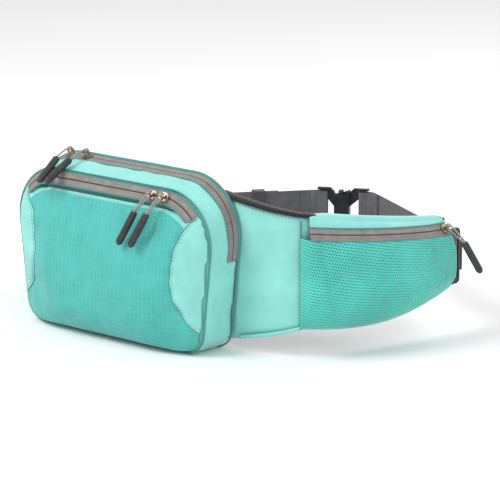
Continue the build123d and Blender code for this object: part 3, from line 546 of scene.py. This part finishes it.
def zip_band(near, far, y_near, y_far, end_height):
    """Places along a zip's middle, between two lines round the pack, down to its ends."""
    a_line = outline(toward(near, far, y_near), end_height)
    b_line = outline(toward(near, far, y_far), end_height)
    stations = []
    for i, (a, b) in enumerate(zip(a_line, b_line)):
        middle = (a + b) / 2
        previous = (a_line[max(i - 1, 0)] + b_line[max(i - 1, 0)]) / 2
        following = (a_line[min(i + 1, len(a_line) - 1)] + b_line[min(i + 1, len(a_line) - 1)]) / 2
        along = following - previous
        along /= np.linalg.norm(along)
        across = b - a
        across -= along * across.dot(along)
        across /= np.linalg.norm(across)
        out = np.cross(along, across)
        if out[1] > 0 or (abs(out[1]) < 0.05 and out[2] < -0.2):
            out = -out
        if out.dot(middle - np.array((0, middle[1] + 30, 0))) < 0:
            out = -out
        if middle[2] >= end_height - 0.5:
            stations.append((middle, along, across, out))
    return stations


def fine_stations(stations, step=0.6):
    """More places along a zip, evenly spaced."""
    centres = [s[0] for s in stations]
    lengths = [0.0]
    for a, b in zip(centres, centres[1:]):
        lengths.append(lengths[-1] + float(np.linalg.norm(b - a)))
    count = int(lengths[-1] / step)
    result = []
    for s in np.linspace(0, lengths[-1], count):
        i = min(int(np.searchsorted(lengths, s, side="right")) - 1, len(stations) - 2)
        t = (s - lengths[i]) / (lengths[i + 1] - lengths[i])
        values = [stations[i][k] * (1 - t) + stations[i + 1][k] * t for k in range(4)]
        for k in (1, 2, 3):
            values[k] = values[k] / np.linalg.norm(values[k])
        result.append(tuple(values))
    return result


def zip_pieces(name, stations, replaced, body="pack", tape_half=6.0):
    """Two tapes, each with a beaded inner edge of stitched ribs, along a zip's stations."""
    fine = fine_stations(stations)
    for slot_name, side in (("upper", -1), ("lower", 1)):
        rings = []
        for i, (middle, along, across, out) in enumerate(fine):
            bead = 0.30 + 0.13 * cos(2 * pi * i * 0.6 / 1.8)
            profile = [
                (0.5, -1.9), (0.5, -0.35), (0.62, bead - 0.12), (1.1, bead), (2.1, bead * 0.9),
                (2.5, 0.05), (3.2, -0.05), (4.6, -0.08), (tape_half + 0.2, -0.1),
                (tape_half + 0.2, -0.75), (2.6, -0.85), (2.4, -1.9),
            ]
            rings.append([middle + across * side * a + out * (h - 0.32) for a, h in profile])
        ring_uv = [0, 1, 1.5, 2, 3, 3.5, 4.2, 5.6, 7.2, 7.9, 11, 12]
        piece = sweep(
            f"{name}_{slot_name}", rings, tape_cloth, uv_ring=ring_uv, body=body, slot="zip_tape"
        )
        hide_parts(replaced[slot_name])
    # A narrow dark strip lies under the tapes' meeting edges.
    coil = []
    for middle, along, across, out in fine:
        coil.append([middle + across * a + out * h for a, h in (
            (-0.46, -0.75), (0.46, -0.75), (0.46, -1.6), (-0.46, -1.6))])
    sweep(f"{name}_coil", coil, coil_nylon, uv_ring=[0, 1, 2, 3], body=body, slot="zip_tape")
    # Stitching and the fabric's turned edge lie beside each tape.
    for side in (-1, 1):
        line = [m + c * side * (tape_half - 0.9) + o * -0.28 for m, _, c, o in fine[::3]]
        stitches(f"{name}_stitch_{'a' if side < 0 else 'b'}", line, thread_grey, length=2.0,
                 space=1.0, radius=0.2, body=body, slot="zip_tape")
        edge = [m + c * side * (tape_half + 0.15) + o * -0.3 for m, _, c, o in fine[::3]]
        tube(f"{name}_edge_{'a' if side < 0 else 'b'}", edge, 0.55, seam_thread, sides=6,
             body=body, slot="gusset")


# ---------------------------------------------------------------- main compartment
def smooth_step(x, low, high):
    t = np.clip((x - low) / (high - low), 0, 1)
    return t * t * (3 - 2 * t)


main_zip_y = -19.5
bag = body_block("main_bag", ["main_compartment"], 3.6, gusset_cloth)
cloth(bag, lambda x, y, z: 1.0 if (y > -14.5 or y < -43.5 or abs(y - main_zip_y) < 7) else 0.15,
      1.6, 2.2, shrink=0.2)


def shape_bag(p):
    x, y, z = p[:, 0], p[:, 1], p[:, 2]
    centre_x, centre_z = x * 0.75, np.clip(z, -60, 25) * 0.8
    out = np.stack((x - centre_x, 0 * x, z - centre_z), 1)
    out /= np.maximum(np.linalg.norm(out, axis=1, keepdims=True), 1e-6)
    rim = smooth_step(np.hypot(x / 105, z / 66), 0.75, 0.95)
    in_zip = (1 - smooth_step(np.abs(y - main_zip_y), 5.6, 7.0)) * smooth_step(z, 3.0, 5.0)
    depth = 1.3 * in_zip * rim
    # Soft ripples between the zip and the front seam, and on the sides and floor.
    ripple = np.array([
        noise.noise(Vector((px / 17, py / 30, pz / 17))) for px, py, pz in p
    ])
    depth = depth - (1 - in_zip) * rim * ripple * 0.9
    return p - out * depth[:, None]


finish_block(bag, 2, shape_bag)
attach(bag, "pack")
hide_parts("main_compartment")

stations = zip_band(main_back, main_front, -13.5, -25.5, MAIN_ZIP_END)
zip_pieces("main_zip_tape", stations, {"upper": "main_zip_rear", "lower": "main_zip_front"})

# ---------------------------------------------------------------- front pocket
seam_points = [
    (101.0, 48.0), (85.0, 32.0), (80.0, 10.0), (77.0, -13.0), (83.0, -35.0), (105.0, -59.0)
]


def seam_x(z):
    """How far from the middle the crescents' seam is at a height."""
    zs = [p[1] for p in seam_points][::-1]
    xs = [p[0] for p in seam_points][::-1]
    smooth = [np.interp(z + d, zs, xs) for d in (-9, -5, 0, 5, 9)]
    return sum(smooth) / 5


front = body_block(
    "front_pocket", ["front_pocket_panel", "pocket_crescent_right", "pocket_crescent_left"],
    3.4, ripstop_cloth,
)


def pocket_hold(x, y, z):
    if y > -50 or (z > 40 and y > -57):
        return 1.0
    return max(0.0, 1.0 - abs(abs(x) - seam_x(z)) / 5.0) * 0.5


cloth(front, pocket_hold, 2.4, 5.0, shrink=0.8)


def shape_pocket(p):
    x, y, z = p[:, 0], p[:, 1], p[:, 2]
    # The zip's band is recessed for its tapes.
    in_band = smooth_step(-y, 48.6, 49.6) * (1 - smooth_step(-y, 54.6, 55.8)) * smooth_step(z, 41, 43)
    out = np.stack((0.62 * np.sign(x) * smooth_step(np.abs(x), 66, 108), 0 * x - 0.75,
                    0.5 * smooth_step(z, 0, 50)), 1)
    out /= np.linalg.norm(out, axis=1, keepdims=True)
    result = p - out * (1.2 * in_band)[:, None]
    face = smooth_step(-y, 55.5, 58.5)
    # Gathers run down from the zip, and die away lower down.
    drop = np.clip((52 - z) / 100, 0, 1)
    folds = np.zeros(len(p))
    rng = random.Random(11)
    for _ in range(26):
        centre, width = rng.uniform(-88, 88), rng.uniform(2.2, 5.5)
        slant, size = rng.uniform(-0.22, 0.22), rng.uniform(-0.9, 0.9)
        reach = rng.uniform(0.15, 0.55)
        across = np.exp(-(((x - centre - slant * (50 - z)) / width) ** 2))
        folds += size * across * np.exp(-((drop / reach) ** 2))
    wide = np.array([noise.noise(Vector((a / 38, 3.0, c / 26))) for a, _, c in p])
    fine = np.array([noise.noise(Vector((a / 11, 7.0, c / 15))) for a, _, c in p])
    seam = np.abs(np.abs(x) - np.array([seam_x(v) for v in z]))
    pucker = np.exp(-((seam / 7.0) ** 2)) * np.sin(z / 2.6 + 2 * wide) * 0.35
    crease = np.exp(-((seam / 2.6) ** 2)) * 1.1
    move = face * (1.9 * folds + 2.2 * wide + 1.0 * fine + 1.5 * pucker - 1.3 * crease)
    low_edge = np.exp(-(((z + 66) / 6.0) ** 2)) * np.sin(x / 6.5 + 3 * wide) * 0.5
    move = move + face * low_edge
    return result + out * move[:, None]


finish_block(front, 2, shape_pocket)
mesh = front.data
shares = np.empty(len(mesh.vertices) * 3)
mesh.vertices.foreach_get("co", shares)
shares = shares.reshape(-1, 3) / MM
side_share = np.array([(abs(x) - seam_x(z)) / 1.5 * 0.5 + 0.5 for x, _, z in shares])
band_share = np.clip((shares[:, 1] + 56.0) / 0.8, 0, 1) * np.clip((shares[:, 2] - 10) / 5, 0, 1)
values = np.maximum(np.clip(side_share, 0, 1), band_share)
attribute = mesh.attributes.new("crescent", "FLOAT", "POINT")
attribute.data.foreach_set("value", values)
m = ripstop_cloth
reader = m.add("ShaderNodeAttribute", attribute_name="crescent")
share = m.math("MULTIPLY", m.math("SUBTRACT", reader.outputs["Fac"], 0.42), 6.0, clamp=True)
tone = m.noise(m.coords, 38.0, 4.0)
plain = m.ramp(tone, (0.3, scaled(TEAL, 0.86)), (0.72, scaled(TEAL, 1.05)))
m.color(m.mix(share, m.shader.inputs["Base Color"].links[0].from_socket, plain))
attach(front, "pack")
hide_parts("front_pocket_panel", "pocket_crescent_right", "pocket_crescent_left")

stations = zip_band(pocket[1], pocket[2], -49.3, -55.3, FRONT_ZIP_END)
zip_pieces("front_zip_tape", stations, {"upper": "front_zip_upper", "lower": "front_zip_lower"})

# Seams: round the front pocket's edge, round the back edge, and along the crescents.
bpy.context.view_layer.update()


def on_surface(obj, point, direction, lift=0.2):
    """The first place on a piece from a point in a direction, in millimetres."""
    hit, place, normal, _ = obj.ray_cast(Vector(point) * MM, Vector(direction))
    if not hit:
        return None
    return np.array(place) / MM + np.array(normal) * lift


def closed(line):
    return line + [line[0]]


ring_front = closed(outline(section(-46.2, 116.2, 100.5, 65.4, -74.6, 46, 20), whole=True))
tube("pocket_piping", ring_front, 0.9, seam_thread, sides=8, body="pack", slot="gusset")
ring_back = closed(outline(section(-12.4, 119.6, 103.9, 74.8, -74.8, 50, 20), whole=True))
tube("back_piping", ring_back, 0.9, seam_thread, sides=8, body="pack", slot="gusset")
for side, label in ((1, "right"), (-1, "left")):
    line = []
    for z in np.linspace(44, -58, 70):
        spot = on_surface(front, (side * seam_x(z), -140, z), (0, 1, 0), 0.1)
        if spot is not None:
            line.append(spot)
    tube(f"crescent_seam_{label}", line, 0.42, seam_thread, sides=6, body="pack", slot="crescent")
    inner = []
    for z in np.linspace(42, -56, 66):
        spot = on_surface(front, (side * (seam_x(z) + 2.6), -140, z), (0, 1, 0), 0.1)
        if spot is not None:
            inner.append(spot)
    stitches(f"crescent_stitch_{label}", inner, seam_thread, length=2.2, space=1.2, radius=0.2,
             body="pack", slot="crescent")

# ---------------------------------------------------------------- lumbar pad
pad = body_block("lumbar_pad", ["lumbar_foam", "lumbar_mesh"], 4.5, spacer_cloth)
cloth(pad, lambda x, y, z: 1.0 if (y < -9 or y > -0.8) else 0.1, 2.0, 1.5, shrink=0.6)


def shape_pad(p):
    x, y, z = p[:, 0], p[:, 1], p[:, 2]
    face = smooth_step(y, -6, -0.5)
    groove = np.zeros(len(p))
    for centre in (-29.0, 29.0):
        groove += np.exp(-(((x - centre) / 3.2) ** 2))
    for centre in (-24.0, 24.0):
        groove += np.exp(-(((z - centre) / 3.2) ** 2)) * (np.abs(x) > 29)
    edge = smooth_step(np.maximum(np.abs(x) - 76, np.abs(z) - 52), 0, 11)
    result = p.copy()
    result[:, 1] = y - face * (2.6 * np.clip(groove, 0, 1) + 3.0 * edge)
    return result


finish_block(pad, 2, shape_pad)
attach(pad, "pack")
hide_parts("lumbar_foam", "lumbar_mesh")

# ================================================================ belt wings
ARCS = {
    "right": dict(side=1, c=(-18.0, 145.0), r=229.0, first=radians(-36.6), last=0.0,
                  zip_c=(52.63288, 121.81137), zip_r=167.15837),
    "left": dict(side=-1, c=(80.0, 70.0), r=75.6, first=radians(-34.0), last=radians(82.0),
                 zip_c=(89.37136, 74.24689), zip_r=77.81150),
}
ROOT = (90.0, -10.9)
HEIGHTS = ((-69.0, 60.0), (-50.5, 48.0), (-37.0, 28.0))
BOW = 8.0
ZIP_DROP = 7.3
ZIP_FALL = {"right": 0.095, "left": 0.04}


ZIP_LEAN = radians(38)  # how far the wings' zip bands lean back from upright
BAND_EDGE = 6.1  # zip line to the fabric beside its tapes
END_BULGE = 7.6  # of the pockets' zips, out from the wing, at their ends
POCKET_SEAM = 1.3


def wing_height(share):
    near, far, part = (0, 1, share / 0.33) if share < 0.33 else (1, 2, (share - 0.33) / 0.67)
    part = min(part, 1.0)
    low, high = (a + part * (b - a) for a, b in zip(HEIGHTS[near], HEIGHTS[far]))
    if share > 0.33:
        low -= BOW * sin(pi * part)
    return low, high


def wing_stations(w, count=90):
    """Places along a wing: the point in plan, the outward direction, and the share."""
    places = []
    (cx, cy), r = w["c"], w["r"]
    start = (cx + r * cos(w["first"]), cy + r * sin(w["first"]))
    size = hypot(start[0] - ROOT[0], start[1] - ROOT[1])
    heading = (-sin(w["first"]), cos(w["first"]))

    def lead(t):
        h0, h1 = 2 * t**3 - 3 * t**2 + 1, t**3 - 2 * t**2 + t
        h2, h3 = 3 * t**2 - 2 * t**3, t**3 - t**2
        return (h0 * ROOT[0] + h1 * size + h2 * start[0] + h3 * size * heading[0],
                h0 * ROOT[1] + h2 * start[1] + h3 * size * heading[1])

    for i in range(count // 3):
        t = i / (count // 3)
        x, y = lead(t)
        ahead = lead(t + 0.001)
        dx, dy = ahead[0] - x, ahead[1] - y
        n = hypot(dx, dy)
        places.append(((x, y), (dy / n, -dx / n), 0.33 * t))
    for i in range(count + 1):
        share = i / count
        a = w["first"] + (w["last"] - w["first"]) * share
        places.append(((cx + r * cos(a), cy + r * sin(a)), (cos(a), sin(a)), 0.33 + 0.67 * share))
    return places


def make_wing(label):
    w = ARCS[label]
    side = w["side"]
    face_rings, line_rings, binding_rings = [], [], []
    places = wing_stations(w)
    for (x, y), (nx, ny), share in places:
        low, high = wing_height(share)

        def at(out, z):
            wobble = 0.5 * noise.noise(Vector((x / 16, y / 16, z / 22)))
            return np.array((side * (x + nx * (out + wobble)), y + ny * (out + wobble), z))

        tall = high - low
        outer, inner = [], []
        for i in range(29):
            t = i / 28
            crown = (1 - (2 * t - 1) ** 8)
            z = low + t * tall
            rib = 0.35 * exp(-(((t - 0.5) * tall % 22 - 11) / 1.6) ** 2)
            outer.append(at(-3.6 + 3.4 * crown ** 0.6, z))
            inner.append(at(-5.4 - 4.0 * crown ** 0.6 + rib, z))
        face_rings.append(outer + [p * 1.0 for p in reversed([
            at(-4.4, low + i / 28 * tall) for i in range(29)])])
        line_rings.append(inner + [at(-4.5, low + i / 28 * tall) for i in range(28, -1, -1)])
        profile = [
            (0.9, high - 2.0), (1.15, high - 1.5), (1.1, high - 0.6), (0.2, high + 0.75),
            (-4.5, high + 1.1), (-9.4, high + 0.75), (-10.4, high - 0.6), (-10.5, high - 3.6),
            (-10.2, high - 5.2), (-9.4, high - 4.9), (-9.2, high - 0.6), (-4.5, high - 0.2),
            (0.0, high - 0.6), (0.1, high - 1.8),
        ]
        binding_rings.append([at(u, z) for u, z in profile])
    height_uv = list(np.linspace(0, 110, 29)) + list(np.linspace(110, 0, 29))
    face = sweep(f"wing_face_cloth_{label}", face_rings, gusset_cloth, uv_ring=height_uv,
                 body="pack", slot="gusset")
    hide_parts(f"wing_face_{label}")
    lining = sweep(f"wing_padding_{label}", line_rings, spacer_cloth, uv_ring=height_uv,
                   body="pack", slot="spacer_mesh")
    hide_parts(f"wing_foam_{label}", f"wing_lining_{label}")
    binding = sweep(f"wing_edge_tape_{label}", binding_rings, binding_cloth,
                    uv_ring=[0, 1.6, 4.6, 6, 10.8, 15.6, 17, 20, 21.6, 22, 26, 31, 35, 39],
                    body="pack", slot="binding")
    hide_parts(f"wing_binding_{label}")
    low_rings = []
    for (x, y), (nx, ny), share in places[8:]:
        low, high = wing_height(share)
        low_rings.append([
            np.array((side * (x + nx * u), y + ny * u, low + z)) for u, z in (
                (0.5, 3.4), (0.75, 1.2), (0.2, -0.4), (-4.5, -0.7), (-9.2, -0.4), (-9.9, 1.2),
                (-9.6, 3.4), (-9.0, 3.0), (-8.8, 0.9), (-4.5, 0.5), (-0.4, 0.9), (-0.3, 3.0))])
    sweep(f"wing_lower_edge_{label}", low_rings, gusset_cloth,
          uv_ring=[0, 2, 4, 9, 14, 16, 18, 19, 21, 25, 30, 32], body="pack", slot="gusset")
    stitch_line = [
        np.array((side * (x + nx * 1.25), y + ny * 1.25, wing_height(share)[1] - 3.0))
        for (x, y), (nx, ny), share in places[10::2]
    ]
    stitches(f"wing_edge_stitch_{label}", stitch_line, binding_cloth, length=2.2, space=1.2,
             radius=0.25, body="pack", slot="binding")


def make_wing_pocket(label):
    w = ARCS[label]
    side = w["side"]
    (cx, cy), r, (zx, zy), zr = w["c"], w["r"], w["zip_c"], w["zip_r"]

    def on_arc(a, out):
        return (cx + (r + out) * cos(a), cy + (r + out) * sin(a))

    start = on_arc(w["first"] + 4 / r, END_BULGE)
    end = on_arc(w["last"] - 3 / r, END_BULGE)
    first = atan2(start[1] - zy, start[0] - zx)
    last = atan2(end[1] - zy, end[0] - zx)
    lean = ZIP_LEAN

    def reach_of(a):
        dx, dy = cos(a), sin(a)
        ox, oy = zx - cx, zy - cy
        along = ox * dx + oy * dy
        return -along + sqrt(along**2 - ox**2 - oy**2 + r**2)

    def heights(a):
        reach = reach_of(a)
        wa = atan2(zy + reach * sin(a) - cy, zx + reach * cos(a) - cx)
        share = 0.33 + 0.67 * (wa - w["first"]) / (w["last"] - w["first"])
        return wing_height(min(max(share, 0.3), 1.0))

    def place(a, reach, z):
        return np.array((side * (zx + reach * cos(a)), zy + reach * sin(a), z))

    def zip_z(a):
        return HEIGHTS[2][1] - ZIP_DROP + ZIP_FALL[label] * (end[1] - (zy + zr * sin(a)))

    stations = []
    for a in np.linspace(first, last, 90):
        middle = place(a, zr, zip_z(a))
        along = np.array((side * -sin(a), cos(a), -ZIP_FALL[label]))
        along /= np.linalg.norm(along)
        out = np.array((side * cos(lean) * cos(a), cos(lean) * sin(a), sin(lean)))
        across = np.array((side * sin(lean) * cos(a), sin(lean) * sin(a), -cos(lean)))
        stations.append((middle, along, across, out))
    zip_pieces(f"wing_zip_tape_{label}", stations,
               {"upper": f"wing_zip_upper_{label}", "lower": f"wing_zip_lower_{label}"})
    top_rings, mesh_rings = [], []
    steps = 110
    shut = 8.0 / zr
    for i in range(steps + 1):
        a = first + (last - first) * i / steps
        low, high = heights(a)
        seam = reach_of(a) + POCKET_SEAM
        edge = (zr - BAND_EDGE * sin(lean), zip_z(a) + BAND_EDGE * cos(lean))
        edge = (max(edge[0], seam + 0.6), edge[1])
        foot = (seam + 0.9, high - 1.0)
        ring = []
        for t in np.linspace(0, 1, 9):
            puff = 0.9 * sin(pi * t) + 0.35 * noise.noise(Vector((a * 14, t * 2, 1.0)))
            ring.append((edge[0] + (foot[0] - edge[0]) * t + puff * 0.8,
                         edge[1] + (foot[1] - edge[1]) * t + puff * 0.4))
        # Over the wing's top edge, rising out of its binding where the pocket starts.
        rise = min(1.0, i / 12) ** 0.5
        crest = high - 1.0
        ring += [(seam + 0.1, crest + 2.5 * rise), (seam - 4.0, crest + 3.1 * rise),
                 (seam - 9.0, crest + 3.0 * rise)]
        back = [(q[0] - 0.9, q[1] - 0.3) for q in reversed(ring)]
        top_rings.append([place(a, *q) for q in ring + back])
    top = sweep(f"wing_pocket_roof_{label}", top_rings, gusset_cloth,
                uv_ring=list(np.linspace(0, 20, 12)) + list(np.linspace(20, 0, 12)),
                body="pack", slot="gusset")
    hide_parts(f"wing_pocket_top_{label}")
    for i in range(-6, steps + 3):
        share = i / steps
        a = first + (last - first) * share if i >= 0 else first + shut * i / 6
        if i > steps:
            a = last + shut / 4 * (i - steps) / 2
        fade = 1.0
        if i < 0:
            fade = max(0.0, 1 + i / 6) ** 0.5
        if i > steps:
            fade = max(0.0, 1 - (i - steps) / 2) ** 0.5
        low, high = heights(a)
        seam = reach_of(a) + POCKET_SEAM
        edge_r = seam + (zr + BAND_EDGE * sin(lean) - seam) * max(fade, 0.25)
        edge_z = zip_z(a) - BAND_EDGE * cos(lean)
        belly = edge_r + 5.0 * fade
        knots = [
            (0.0, seam + 0.3), (0.06, seam + 0.35 * (belly - seam)),
            (0.14, seam + 0.62 * (belly - seam)), (0.32, belly - 0.6), (0.5, belly),
            (0.75, belly - 0.3), (0.9, edge_r + 1.8 * fade), (1.0, edge_r),
        ]
        ring = []
        for t in np.linspace(0, 1, 40):
            z = low + 0.8 + (edge_z - low - 0.8) * t
            reach = float(np.interp(t, [k[0] for k in knots], [k[1] for k in knots]))
            # smooth the profile and add soft folds that fan from the lower corners
            fold = 1.0 * noise.noise(Vector((a * 9 + t * 0.9, t * 1.6 - a * 2, 4.0 + side)))
            fold += 0.5 * noise.noise(Vector((a * 30, t * 3.0, 9.0)))
            fold -= 2.2 * exp(-(((share - 0.05 - 0.09 * (1 - t)) / 0.02) ** 2))
            reach += fold * fade * sin(pi * min(max(t, 0.02), 0.98)) ** 0.6 * 1.2
            ring.append((max(reach, seam + 0.2), z))
        rr = np.array([q[0] for q in ring])
        for _ in range(3):
            rr[1:-1] = (rr[:-2] + 2 * rr[1:-1] + rr[2:]) / 4
        ring = [(v, q[1]) for v, q in zip(rr, ring)]
        back = [(q[0] - 0.9, q[1]) for q in reversed(ring)]
        mesh_rings.append([place(a, *q) for q in ring + back])
    pouch = sweep(f"wing_pocket_pouch_{label}", mesh_rings, mesh_cloth,
                  uv_ring=list(np.linspace(0, 62, 40)) + list(np.linspace(62, 0, 40)),
                  body="pack", slot="pocket_mesh")
    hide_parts(f"wing_pocket_mesh_{label}")
    # The pocket's near edge is a seam that curves down the wing's face.
    near = []
    for t in np.linspace(0, 1, 24):
        a = first - shut * 0.9
        low, high = heights(a)
        near.append(place(a, reach_of(a) + 1.2, high - 5 + (low + 1 - high + 5) * t))
    tube(f"wing_pocket_seam_{label}", near, 0.7, seam_thread, sides=6, body="pack", slot="gusset")


for label in ("right", "left"):
    make_wing(label)
    make_wing_pocket(label)

# ================================================================ webbing, made from its CAD path


def webbing_from(node, name, material, direction, body, bevel=0.35):
    """A strap with softened edges and UVs along its run, in the place its CAD solid holds."""
    mesh = nodes[node].data.copy()
    obj = bpy.data.objects.new(name, mesh)
    scene.collection.objects.link(obj)
    bm = bmesh.new()
    bm.from_mesh(mesh)
    bmesh.ops.remove_doubles(bm, verts=bm.verts, dist=1e-6)
    bmesh.ops.dissolve_limit(bm, angle_limit=radians(1.0), verts=bm.verts, edges=bm.edges)
    edges = [e for e in bm.edges if len(e.link_faces) == 2 and e.calc_face_angle(0) > radians(60)]
    bmesh.ops.bevel(bm, geom=edges, offset=bevel * MM, segments=2, affect="EDGES", clamp_overlap=True)
    bmesh.ops.triangulate(bm, faces=[f for f in bm.faces if len(f.verts) > 4])
    layer = bm.loops.layers.uv.verify()
    run = Vector(direction).normalized()
    for face in bm.faces:
        for loop in face.loops:
            loop[layer].uv = (loop.vert.co.dot(run), loop.vert.co.z)
    bm.to_mesh(mesh)
    bm.free()
    mesh.materials.clear()
    mesh.materials.append(material.material)
    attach(obj, body)
    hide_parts(node)
    return obj


RUNS = {"right": (-0.87066, 0.49188, 0), "left": (0.62089, 0.78390, 0)}
for label in ("right", "left"):
    run = RUNS[label]
    webbing_from(f"strap_{label}", f"belt_webbing_{label}", webbing_cloth, run, "pack")
    webbing_from(f"keeper_{label}", f"belt_keeper_{label}", elastic_cloth, run, f"keeper_{label}",
                 bevel=0.3)
    lead = (0, 1, 0) if label == "right" else (0.97, 0.24, 0)
    webbing_from(f"lock_loop_{label}", f"lock_webbing_{label}", webbing_cloth, lead, "pack")

# ================================================================ hard parts keep their CAD shape
for n, obj in nodes.items():
    if obj.hide_render:
        continue
    if n.endswith("_slider"):
        material = gunmetal
    elif n.endswith("_grip"):
        material = grip_rubber
    else:
        material = black_plastic
    obj.data.materials.clear()
    obj.data.materials.append(material.material)

# ================================================================ pull cords
GRIP_MOUTH, GRIP_LENGTH, GRIP_TILT = 21.5, 32.5, radians(18)
ROUTE = [
    (21.5, 0.0, 0.45), (15.5, 0.0, 1.5), (5.0, 0.0, 2.3), (-2.3, 0.0, 2.25), (-2.3, 0.0, -2.25),
    (5.0, 0.0, -2.1), (15.0, 0.0, -1.2), (21.1, 0.0, -1.1),
]
FRONT_AIM = (-0.428, -0.3, -0.853)
PULLS = {
    "main_zip_left": (
        (0.98714, 0.0, 0.15988), (-72.88124, -20.93971, 77.05996), (0.14, -0.918, -0.37)
    ),
    "main_zip_right": ((1, 0, 0), (-54.0, -20.93971, 77.75706), (-0.05, -0.92, -0.365)),
    "front_zip_left": ((1, 0, 0), (52.0, -56.93409, 61.97352), FRONT_AIM),
    "front_zip_right": ((0.99803, 0, -0.06279), (65.35135, -56.93409, 61.88299), FRONT_AIM),
    "wing_zip_left": ((0.9836, 0.17867, -0.02483), (-102.4627, 155.22283, 24.02599), None),
    "wing_zip_right": ((-0.03248, 0.99774, -0.05883), (223.47807, 135.26668, 24.65545), None),
}
WING_OUT = {"wing_zip_left": (-0.15961, 0.98718, 0), "wing_zip_right": (0.99690, 0.07851, 0)}
for name, (track, centre, aim) in PULLS.items():
    track = Vector(track).normalized()
    if aim is None:
        out = Vector(WING_OUT[name]).normalized()
        aim = track * 0.46 + out * 0.36 - Vector((0, 0, 0.81))
    aim = Vector(aim).normalized()
    lift = track.cross(aim).normalized()
    box_low, box_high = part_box(f"{name}_cord")
    middle = (Vector(box_low) + Vector(box_high)) / 2 / MM
    best = None
    for sign in (1, -1):
        lifted = lift * sign
        tip = GRIP_MOUTH + GRIP_LENGTH * cos(GRIP_TILT)
        rise = atan2(GRIP_LENGTH * sin(GRIP_TILT), tip)
        along = aim * cos(rise) + lifted * sin(rise)
        up = lifted * cos(rise) - aim * sin(rise)
        points = [Vector(centre) + along * a + up * c for a, _, c in ROUTE]
        low = Vector((min(p[i] for p in points) for i in range(3)))
        high = Vector((max(p[i] for p in points) for i in range(3)))
        error = ((low + high) / 2 - middle).length
        if best is None or error < best[0]:
            best = (error, points)
    curve = bpy.data.curves.new(f"{name}_cord_line", "CURVE")
    curve.dimensions = "3D"
    curve.bevel_depth = 0.75 * MM
    curve.bevel_resolution = 4
    curve.resolution_u = 16
    curve.use_fill_caps = True
    spline = curve.splines.new("NURBS")
    spline.points.add(len(ROUTE) - 1)
    for point, place_at in zip(spline.points, best[1]):
        point.co = (*(place_at * MM), 1.0)
    spline.order_u = 3
    spline.use_endpoint_u = True
    obj = bpy.data.objects.new(f"{name}_braid", curve)
    scene.collection.objects.link(obj)
    curve.materials.append(cord_braid.material)
    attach(obj, f"{name}_pull")
    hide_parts(f"{name}_cord")

# ================================================================ floor, light and camera
floor_mesh = bpy.data.meshes.new("floor")
FLOOR_HALF, FLOOR_HEIGHT = 6, -0.0752
floor_mesh.from_pydata(
    [(x * FLOOR_HALF, y * FLOOR_HALF, FLOOR_HEIGHT) for x, y in ((-1, -1), (1, -1), (1, 1), (-1, 1))],
    [], [(0, 1, 2, 3)],
)
floor = bpy.data.objects.new("floor", floor_mesh)
scene.collection.objects.link(floor)
paper = Nodes("paper", roughness=0.9, specular=0.1)
paper_tone = paper.noise(paper.coords, 2.0)
paper.color(paper.ramp(paper_tone, (0.0, (0.86, 0.86, 0.86)), (1.0, (0.90, 0.90, 0.90))))
floor_mesh.materials.append(paper.material)

world = bpy.data.worlds.new("studio")
world.use_nodes = True
world.node_tree.nodes["Background"].inputs["Color"].default_value = (1, 1, 1, 1)
world.node_tree.nodes["Background"].inputs["Strength"].default_value = 0.75
scene.world = world


def area_light(name, place_at, target, size, power):
    data = bpy.data.lights.new(name, "AREA")
    data.size = size
    data.energy = power
    obj = bpy.data.objects.new(name, data)
    scene.collection.objects.link(obj)
    obj.location = place_at
    obj.rotation_euler = (Vector(target) - Vector(place_at)).to_track_quat("-Z", "Y").to_euler()


area_light("key", (-0.7, -1.1, 1.5), (0, 0, 0), 1.0, 24)
area_light("fill", (1.6, -0.9, 0.7), (0.1, 0.05, 0), 1.2, 9)
area_light("rim", (0.3, 1.3, 1.2), (0, 0.1, 0), 1.2, 9)

TARGET = Vector((73.3, 49.5, -4.0)) * MM
AZIMUTH, ELEVATION, DISTANCE = radians(40), radians(13.8), 2.5
camera_data = bpy.data.cameras.new("camera")
camera_data.lens = 207
camera_data.sensor_width = 36
camera_data.clip_end = 50
camera = bpy.data.objects.new("camera", camera_data)
scene.collection.objects.link(camera)
camera.location = TARGET + DISTANCE * Vector((
    sin(AZIMUTH) * cos(ELEVATION), -cos(AZIMUTH) * cos(ELEVATION), sin(ELEVATION)))
camera.rotation_euler = (TARGET - camera.location).to_track_quat("-Z", "Y").to_euler()
scene.camera = camera
scene.view_settings.view_transform = "Standard"
